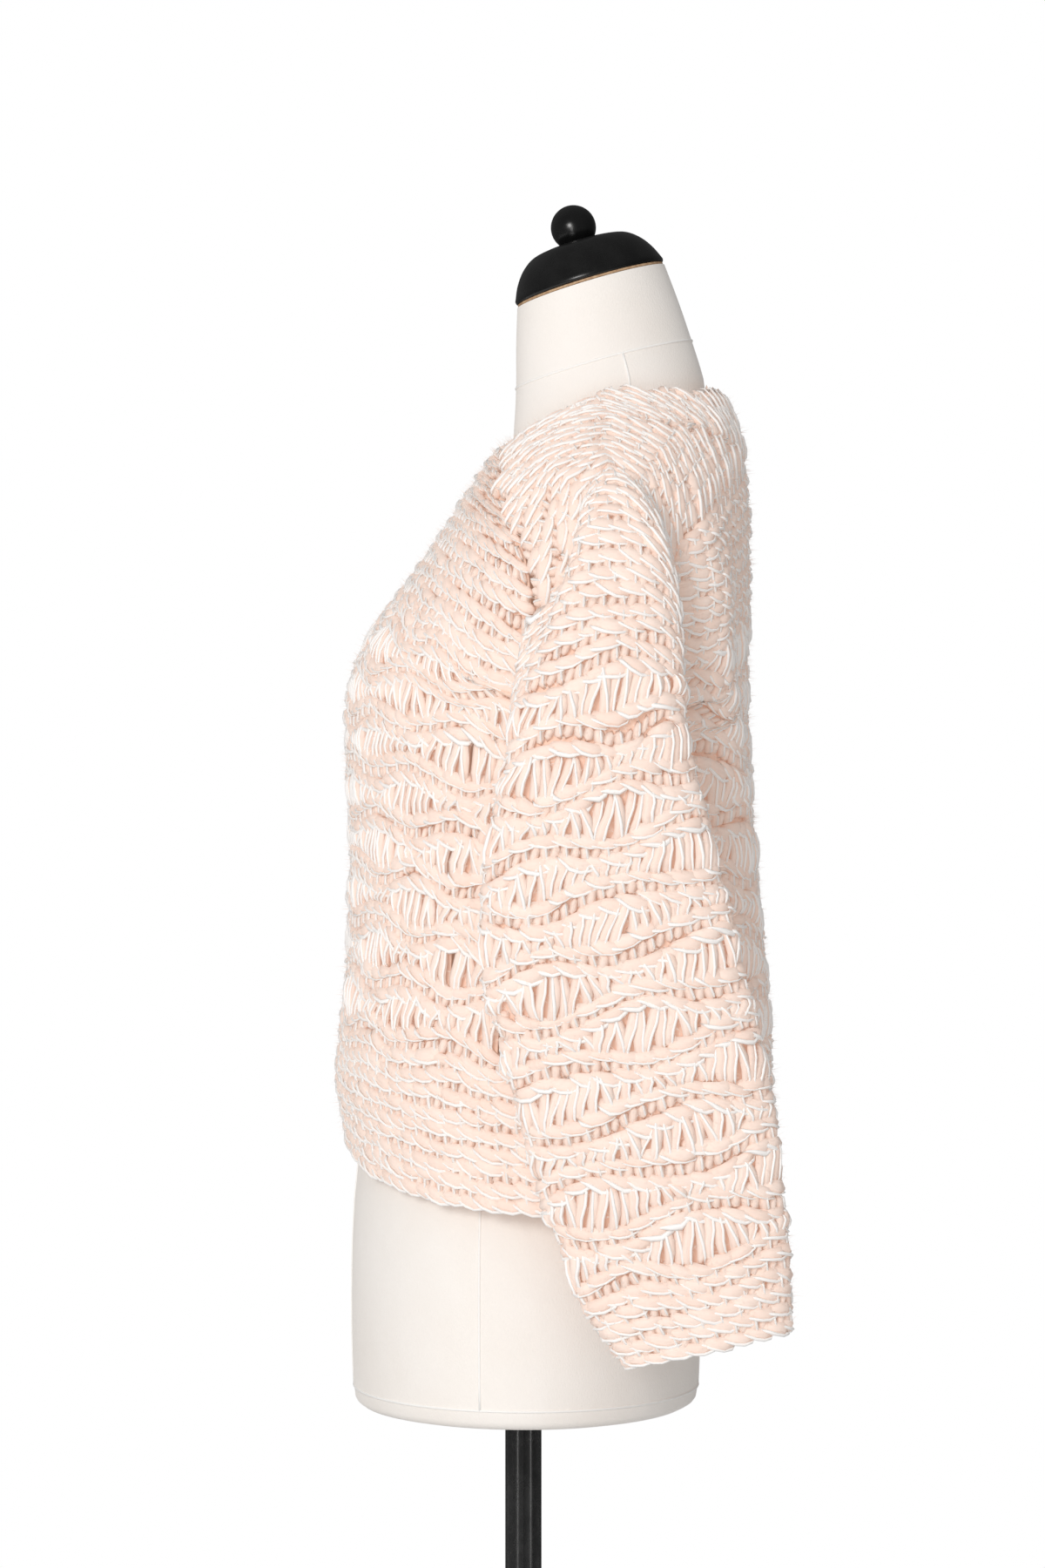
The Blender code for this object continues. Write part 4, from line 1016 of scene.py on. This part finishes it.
# %% [markdown]
# ## The dress form's finishes
# The torso is padded and covered with ivory jersey, a fine knit that is almost smooth from a step away.
# The wooden neck cap, the ball and the fluted pole are painted in gloss black, and a thin ring of the
# cap's bare wood shows under its edge.

# %% Finishes of the form


def jersey_material():
    """Fine knit that rises a little over the padding."""
    material, tree, shader = new_material("ivory_jersey", (0.93, 0.88, 0.83), 0.85)
    places = add_node(tree, "TexCoord")
    cloud = add_node(tree, "TexNoise", {"Vector": places.outputs["Object"], "Scale": 14.0, "Detail": 3.0})
    tint(tree, shader, cloud.outputs["Fac"], [(0.3, (0.91, 0.855, 0.80)), (0.7, (0.94, 0.895, 0.85))])
    knit_scale = add_node(tree, "Mapping", {"Vector": places.outputs["Object"],
                                            "Scale": (900.0, 900.0, 520.0)})
    loops = add_node(tree, "TexVoronoi", {"Vector": knit_scale.outputs["Vector"], "Scale": 1.0})
    add_bump(tree, shader, [(cloud.outputs["Fac"], 0.004, 0.25), (loops.outputs["Distance"], 0.00025, 0.5)])
    set_finish(shader, {"Sheen Weight": 0.15, "Specular IOR Level": 0.2})
    return material


def black_material(name, dark, worn, coat):
    """Gloss black paint, a little dulled by dust, under a clear coat."""
    material, tree, shader = new_material(name, (dark, dark, dark), 0.22)
    places = add_node(tree, "TexCoord")
    dust = add_node(tree, "TexNoise", {"Vector": places.outputs["Object"], "Scale": 60.0, "Detail": 6.0,
                                       "Roughness": 0.7})
    rough = add_node(tree, "MapRange", {"Value": dust.outputs["Fac"], "From Min": 0.3, "From Max": 0.75,
                                        "To Min": 0.16, "To Max": 0.38})
    tree.links.new(rough.outputs["Result"], shader.inputs["Roughness"])
    tint(tree, shader, dust.outputs["Fac"], [(0.4, (dark, dark, dark)), (0.8, (worn, worn, worn))])
    add_bump(tree, shader, [(dust.outputs["Fac"], 0.0004, 0.2)])
    set_finish(shader, {"Coat Weight": coat, "Coat Roughness": 0.26, "Specular IOR Level": 0.4})
    return material


def wood_material():
    """Turned wood, with its grain drawn out across the cap."""
    material, tree, shader = new_material("bare_wood", (0.55, 0.36, 0.20), 0.6)
    places = add_node(tree, "TexCoord")
    stretched = add_node(tree, "Mapping", {"Vector": places.outputs["Object"], "Scale": (18.0, 140.0, 140.0)})
    grain = add_node(tree, "TexNoise", {"Vector": stretched.outputs["Vector"], "Scale": 3.0, "Detail": 5.0,
                                        "Roughness": 0.65})
    tint(tree, shader, grain.outputs["Fac"], [(0.3, (0.36, 0.20, 0.10)), (0.7, (0.66, 0.46, 0.28))])
    add_bump(tree, shader, [(grain.outputs["Fac"], 0.0005, 0.4)])
    return material


jersey = jersey_material()
black_gloss = black_material("black_gloss", 0.003, 0.008, 0.4)
pole_black = black_material("pole_black", 0.008, 0.022, 1.0)
bare_wood = wood_material()

# %% [markdown]
# ## The torso
# The torso is one smooth loft from its flat underside to the top of its neck. It starts as a cylinder
# primitive of many rings without caps, whose points are moved to the form's sections. The covering's
# seams are raised on it: round the base of the neck, down its side, down the hip, and round the bottom.

# %% Torso
# Level sections of the form below the shoulders: height, front y, half width, y of the sides, back y
FORM = np.array([
    (0.7300, -0.106, 0.157, 0.002, 0.105),
    (0.7322, -0.113, 0.163, 0.002, 0.115),
    (0.7430, -0.1165, 0.1665, 0.002, 0.120),
    (0.8000, -0.118, 0.168, 0.002, 0.121),
    (0.8700, -0.116, 0.167, 0.002, 0.121),
    (0.9400, -0.107, 0.155, 0.004, 0.118),
    (1.0100, -0.094, 0.136, 0.006, 0.110),
    (1.0700, -0.088, 0.126, 0.010, 0.106),
    (1.1300, -0.095, 0.131, 0.016, 0.116),
    (1.1900, -0.108, 0.143, 0.024, 0.130),
    (1.2300, -0.100, 0.152, 0.032, 0.138),
    (1.2680, -0.084, 0.166, 0.040, 0.142),
])
# Rings over the shoulders, on the sweater's surface moved in: front, side and back z
FORM_SHOULDERS = [(1.300, 1.305, 1.310), (1.324, 1.332, 1.338), (1.342, 1.352, 1.360),
                  (1.356, 1.369, 1.380), (1.366, 1.387, 1.396), (1.373, 1.403, 1.409)]
# Rings of the neck: front y and z, half width, side z, back y and z
FORM_NECK = [(-0.0080, 1.384, 0.0695, 1.4130, 0.1260, 1.418),
             (-0.0065, 1.399, 0.0635, 1.4280, 0.1240, 1.434),
             (-0.0050, 1.427, 0.0580, 1.4440, 0.1160, 1.460),
             (-0.0050, 1.455, 0.0550, 1.4710, 0.1070, 1.4865),
             (-0.0042, 1.4824, 0.0525, 1.4974, 0.0972, 1.5124)]
FORM_CLEAR = 0.0095       # from the knit's outer surface in to the torso, at the shoulders
FORM_COLUMNS = 96
FORM_STEPS = 3            # finer rings to each section


def form_rings():
    """Rings of points up the form, with a fixed number of columns."""
    turn = np.linspace(0, 2 * math.pi, FORM_COLUMNS, endpoint=False)
    cosine = np.cos(turn)
    rings = []

    def level(front_y, front_z, half, side_y, side_z, back_y, back_z):
        end_y = np.where(cosine > 0, front_y, back_y)
        end_z = np.where(cosine > 0, front_z, back_z)
        return np.stack([half * np.sin(turn), side_y + (end_y - side_y) * np.abs(cosine),
                         side_z + (end_z - side_z) * np.abs(cosine)], axis=1)

    for z, front_y, half, side, back_y in FORM:
        rings.append(level(front_y, z, half, side, z, back_y, z))
    for front_z, side_z, back_z in FORM_SHOULDERS:
        z = side_z + (np.where(cosine > 0, front_z, back_z) - side_z) * cosine**2
        point = body_points(turn, z)
        step = 1e-3
        across = body_points(turn + step, z) - body_points(turn - step, z)
        up = body_points(turn, z + step) - body_points(turn, z - step)
        normal = np.cross(across, up)
        normal /= np.linalg.norm(normal, axis=1, keepdims=True)
        rings.append(point - normal * FORM_CLEAR)
    for front_y, front_z, half, side_z, back_y, back_z in FORM_NECK:
        rings.append(level(front_y, front_z, half, 0.5 * (front_y + back_y), side_z, back_y, back_z))
    return np.array(rings)


def form_surface(rings):
    """The rings made finer along smooth lines, with FORM_STEPS steps between each two."""
    count = len(rings)
    table = np.column_stack([np.arange(count), rings.reshape(count, -1)])
    at = np.arange((count - 1) * FORM_STEPS + 1) / FORM_STEPS
    return smooth_rows(table, at).reshape(-1, FORM_COLUMNS, 3)


def face_outwards(merge=None):
    """Turns the active mesh's faces outwards, after its doubles are merged."""
    bpy.ops.object.mode_set(mode="EDIT")
    bpy.ops.mesh.select_all(action="SELECT")
    if merge is not None:
        bpy.ops.mesh.remove_doubles(threshold=merge)
    bpy.ops.mesh.normals_make_consistent(inside=False)
    bpy.ops.object.mode_set(mode="OBJECT")


form_grid = form_surface(form_rings())
deselect()
bpy.ops.mesh.primitive_cylinder_add(vertices=FORM_COLUMNS, radius=1.0, depth=1.0, end_fill_type="NOTHING")
torso = bpy.context.object
torso.name = torso.data.name = "form_cover"
select_none("EDGE")
for edge in torso.data.edges:
    low, high = (torso.data.vertices[i].co.z for i in edge.vertices)
    edge.select = abs(low - high) > 0.5
bpy.ops.object.mode_set(mode="EDIT")
bpy.ops.mesh.subdivide(number_cuts=len(form_grid) - 2)
bpy.ops.object.mode_set(mode="OBJECT")
for vertex in torso.data.vertices:
    ring = round((vertex.co.z + 0.5) * (len(form_grid) - 1))
    column = round(math.atan2(vertex.co.x, -vertex.co.y) / (2 * math.pi) * FORM_COLUMNS) % FORM_COLUMNS
    vertex.co = form_grid[ring, column]
for level in (form_grid[0], form_grid[-1]):
    select_none("VERT")
    for vertex in torso.data.vertices:
        vertex.select = bool(np.min(np.linalg.norm(level - np.array(vertex.co), axis=1)) < 1e-6)
    bpy.ops.object.mode_set(mode="EDIT")
    bpy.ops.mesh.edge_face_add()
    bpy.ops.object.mode_set(mode="OBJECT")
face_outwards()
torso.data.shade_smooth()
torso.data.set_sharp_from_angle(angle=math.radians(40))
torso.data.materials.append(jersey)
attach(torso, "root")
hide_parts("form_torso")
print("torso faces:", len(torso.data.polygons))

# %% [markdown]
# ## The form's seams
# Each seam of the cover is a fine raised welt of pale thread: round the base of the neck and the bottom,
# down the neck's sides, the hips, and the middle of the front and the back. It is a thin tube along a
# line of the torso's own points, so it can't leave the surface.

# %% Seams
SEAM_RADIUS = 0.0009
# The sections of the torso at the bottom, waist, shoulder and collar, where seams start and end
BOTTOM_RING, WAIST_RING, SHOULDER_RING, COLLAR_RING = (FORM_STEPS * section for section in (2, 12, 17, 20))
TUBE_MERGE = 0.00002      # points of a tube or a turned piece closer than this become one


def seam_tube(name, line, closed):
    """A thin tube through the line's points, made a mesh."""
    curve = bpy.data.curves.new(name, "CURVE")
    curve.dimensions = "3D"
    curve.bevel_depth = SEAM_RADIUS
    curve.bevel_resolution = 1
    curve.use_fill_caps = True
    spline = curve.splines.new("POLY")
    spline.points.add(len(line) - 1)
    spline.points.foreach_set("co", np.column_stack([line, np.ones(len(line))]).ravel())
    spline.use_cyclic_u = closed
    tube = add_object(name, curve)
    deselect()
    tube.select_set(True)
    bpy.context.view_layer.objects.active = tube
    bpy.ops.object.convert(target="MESH")
    face_outwards(TUBE_MERGE)
    tube.data.shade_smooth()
    tube.data.materials.clear()
    tube.data.materials.append(thread_white)
    return tube


thread_white = new_material("seam_thread", (0.97, 0.95, 0.92), 0.6)[0]
quarter = FORM_COLUMNS // 4
body_seam = slice(BOTTOM_RING, WAIST_RING)
neck_seam = slice(SHOULDER_RING, COLLAR_RING + 1)
for name, line, closed in (
        ("seam_collar", form_grid[COLLAR_RING], True),
        ("seam_bottom", form_grid[BOTTOM_RING], True),
        ("seam_hip_left", form_grid[body_seam, quarter - 4], False),
        ("seam_neck_left", form_grid[neck_seam, quarter + 3], False),
        ("seam_hip_right", form_grid[body_seam, 3 * quarter + 4], False),
        ("seam_neck_right", form_grid[neck_seam, 3 * quarter - 3], False),
        ("seam_centre_front", form_grid[body_seam, 0], False),
        ("seam_centre_back", form_grid[body_seam, 2 * quarter], False)):
    piece = seam_tube(name, line, closed)
    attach(piece, "root")

# %% [markdown]
# ## Turned pieces
# The cap, its bare edge, the ball and the base were turned on a lathe. Each is a half profile, top to
# bottom, that the Screw modifier turns about its axis. On the neck they lean forward together, by the
# slope of the neck's cut top.

# %% Turned pieces
CAP_TILT = math.radians(16.48)
CAP_CENTRE = (0.0, 0.0465, 1.4974)
CAP_RADIUS = 0.0530
REST_GAP = 0.0003


def arc(centre_r, centre_z, radius, start, end, steps):
    """Points of a circular arc in a profile, by degrees from +r."""
    turns = np.radians(np.linspace(start, end, steps + 1))
    return [(centre_r + radius * math.cos(turn), centre_z + radius * math.sin(turn)) for turn in turns]


def turned(name, profile, steps, material, node, location=CAP_CENTRE, tilt=CAP_TILT):
    """A piece turned on its axis, in this many steps round, that replaces a node of the CAD."""
    mesh = bpy.data.meshes.new(name)
    mesh.from_pydata([(r, 0.0, z) for r, z in profile], [], [])
    mesh.edges.add(len(profile) - 1)
    mesh.edges.foreach_set("vertices", np.repeat(np.arange(len(profile)), 2)[1:-1])
    obj = add_object(name, mesh)
    screw = obj.modifiers.new("turn", "SCREW")
    screw.steps = screw.render_steps = steps
    screw.use_merge_vertices = True
    screw.merge_threshold = TUBE_MERGE
    obj.location = location
    obj.rotation_euler = (tilt, 0.0, 0.0)
    deselect()
    obj.select_set(True)
    bpy.context.view_layer.objects.active = obj
    bpy.ops.object.modifier_apply(modifier="turn")
    bpy.ops.object.transform_apply(location=True, rotation=True, scale=True)
    face_outwards()
    obj.data.shade_smooth()
    obj.data.set_sharp_from_angle(angle=math.radians(38))
    obj.data.materials.append(material)
    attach(obj, "root")
    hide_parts(node)
    return obj


def smooth_profile(points, steps):
    """A profile's smooth line through a few points, as a list to which corners are added."""
    return [tuple(point) for point in finer(points, steps)]


RING_HIGH = 0.0018
turned("wood_edge", [(0, REST_GAP + RING_HIGH), (0.0515, REST_GAP + RING_HIGH), (0.0520, REST_GAP + 0.0015),
                     (0.0520, REST_GAP + 0.0004), (0.0515, REST_GAP), (0, REST_GAP)],
       96, bare_wood, "neck_ring")
low = RING_HIGH + 2 * REST_GAP
high = low + 0.0298
dome = smooth_profile([(0, high), (0.013, high - 0.0002), (0.025, high - 0.0010), (0.034, high - 0.0032),
                       (0.0415, high - 0.0086), (0.0485, high - 0.0178), (CAP_RADIUS, low + 0.0022)], 30)
turned("cap", dome + [(0.0528, low + 0.0008), (0.0522, low), (0, low)],
       96, black_gloss, "neck_cap")
ball, ball_at, ball_foot = 0.0156, low + 0.0400, high + REST_GAP
meet = math.degrees(math.asin((ball_at - ball_foot) / ball))
ball_profile = arc(0, ball_at, ball, 90, -meet, 24)
ball_profile[0] = (0.0, ball_at + ball)
turned("ball", ball_profile + [(0, ball_foot)], 64, black_gloss, "finial")
BASE_RADIUS, BASE_RISE = 0.190, 0.034
base_top = smooth_profile([(0.0, BASE_RISE), (0.016, BASE_RISE), (0.0205, BASE_RISE - 0.001), (0.024, 0.026),
                           (0.030, 0.0215), (0.042, 0.0180), (0.075, 0.0155), (0.110, 0.0135)], 24)
base_edge = arc(BASE_RADIUS - 0.006, 0.0065, 0.006, 80, -70, 8)
turned("foot", base_top + base_edge + [(BASE_RADIUS - 0.008, 0.0), (0, 0.0)],
       128, black_gloss, "base", location=(0, 0, 0), tilt=0.0)

# %% [markdown]
# ## The fluted pole
# The pole has twelve rounded flutes. It starts as a tall cylinder primitive, whose sides are drawn in
# along the flutes by a smooth wave, so that the ridges between them catch thin bright lines.

# %% Pole
POLE_RADIUS, FLUTE_DEPTH, FLUTES = 0.0125, 0.0014, 12
top, foot = FORM[0, 0] - REST_GAP, BASE_RISE + REST_GAP
deselect()
bpy.ops.mesh.primitive_cylinder_add(vertices=12 * FLUTES, radius=POLE_RADIUS, depth=top - foot,
                                    location=(0, 0, 0.5 * (top + foot)))
pole = bpy.context.object
pole.name = pole.data.name = "fluted_pole"
bpy.ops.object.transform_apply(location=True, rotation=True, scale=True)
for vertex in pole.data.vertices:
    turn = math.atan2(vertex.co.y, vertex.co.x)
    drawn = abs(math.sin(0.5 * FLUTES * turn)) ** 0.7
    vertex.co.xy *= 1 - FLUTE_DEPTH / POLE_RADIUS * drawn
pole.data.shade_smooth()
pole.data.set_sharp_from_angle(angle=math.radians(60))
pole.data.materials.append(pole_black)
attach(pole, "root")
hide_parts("pole")

# %% [markdown]
# ## Floor and light
# The studio is a pale floor and a white surround that fills the shadows. A round lamp and a tall narrow
# one stand beside the camera toward the front, and the tall one draws bright lines on the pole. The
# surround is weaker on the back's side, where the photograph is in shade, and is dimmed in reflections.

# %% Floor and light
deselect()
bpy.ops.mesh.primitive_circle_add(vertices=96, radius=2.4, fill_type="NGON", location=(0, 0, -0.0005))
floor = bpy.context.object
floor.name = floor.data.name = "floor"
floor.data.materials.append(new_material("pale_floor", (0.86, 0.86, 0.86), 0.7)[0])
LAMP_COLOUR = (1.0, 0.985, 0.97)


def soft_lamp(name, place, aim, size, power):
    """An oval lamp that faces a point on the stand's axis."""
    data = bpy.data.lights.new(name, "AREA")
    data.shape = "ELLIPSE"
    data.size, data.size_y = size
    data.energy = power
    data.color = LAMP_COLOUR
    lamp = add_object(name, data)
    lamp.location = place
    away = np.array(place) - np.array(aim)
    lamp.rotation_euler = (math.atan2(math.hypot(away[0], away[1]), away[2]), 0.0,
                           math.atan2(away[1], away[0]) + math.radians(90))


soft_lamp("key", (3.05, -1.1, 1.9), (0, 0, 1.15), (1.0, 1.0), 34)
soft_lamp("tall", (3.2, -0.55, 0.95), (0, 0, 0.95), (0.4, 1.7), 10)

NEAR_LIGHT, FAR_LIGHT = 0.68, 0.30
NEAR_WAY = (0.80, -0.50, 0.33)
DIM_REFLECTIONS = 0.22     # the studio beyond the lamps is dark, as its reflections in the paint show
WHITE = (1.0, 1.0, 1.0, 1.0)
world = bpy.data.worlds.new("studio")
world.use_nodes = True
bpy.context.scene.world = world
tree = world.node_tree
background = tree.nodes["Background"]
background.inputs["Color"].default_value = WHITE
direction = add_node(tree, "TexCoord")
toward = add_node(tree, "VectorMath", {0: direction.outputs["Generated"], 1: NEAR_WAY},
                  operation="DOT_PRODUCT")
fall = add_node(tree, "MapRange", {"Value": toward.outputs["Value"], "From Min": -0.6, "From Max": 0.5,
                                   "To Min": FAR_LIGHT, "To Max": NEAR_LIGHT})
path = add_node(tree, "LightPath")
dimmer = add_node(tree, "MapRange", {"Value": path.outputs["Is Glossy Ray"], "To Min": 1.0,
                                     "To Max": DIM_REFLECTIONS})
strength = add_node(tree, "Math", {0: fall.outputs["Result"], 1: dimmer.outputs["Result"]},
                    operation="MULTIPLY")
tree.links.new(strength.outputs["Value"], background.inputs["Strength"])
shown = add_node(tree, "Background", {"Color": WHITE, "Strength": 1.0})
either = add_node(tree, "MixShader", {"Fac": path.outputs["Is Camera Ray"],
                                      1: background.outputs["Background"],
                                      2: shown.outputs["Background"]})
tree.links.new(either.outputs["Shader"], tree.nodes["World Output"].inputs["Surface"])
bpy.context.scene.view_settings.view_transform = "Standard"

# %% [markdown]
# ## Triangles in all
# The triangles of all the meshes are counted and printed.

# %% Finish
meshes = [obj.data for obj in bpy.data.objects if obj.type == "MESH"]
print("triangles in all:", sum(len(face.vertices) - 2 for mesh in meshes for face in mesh.polygons))
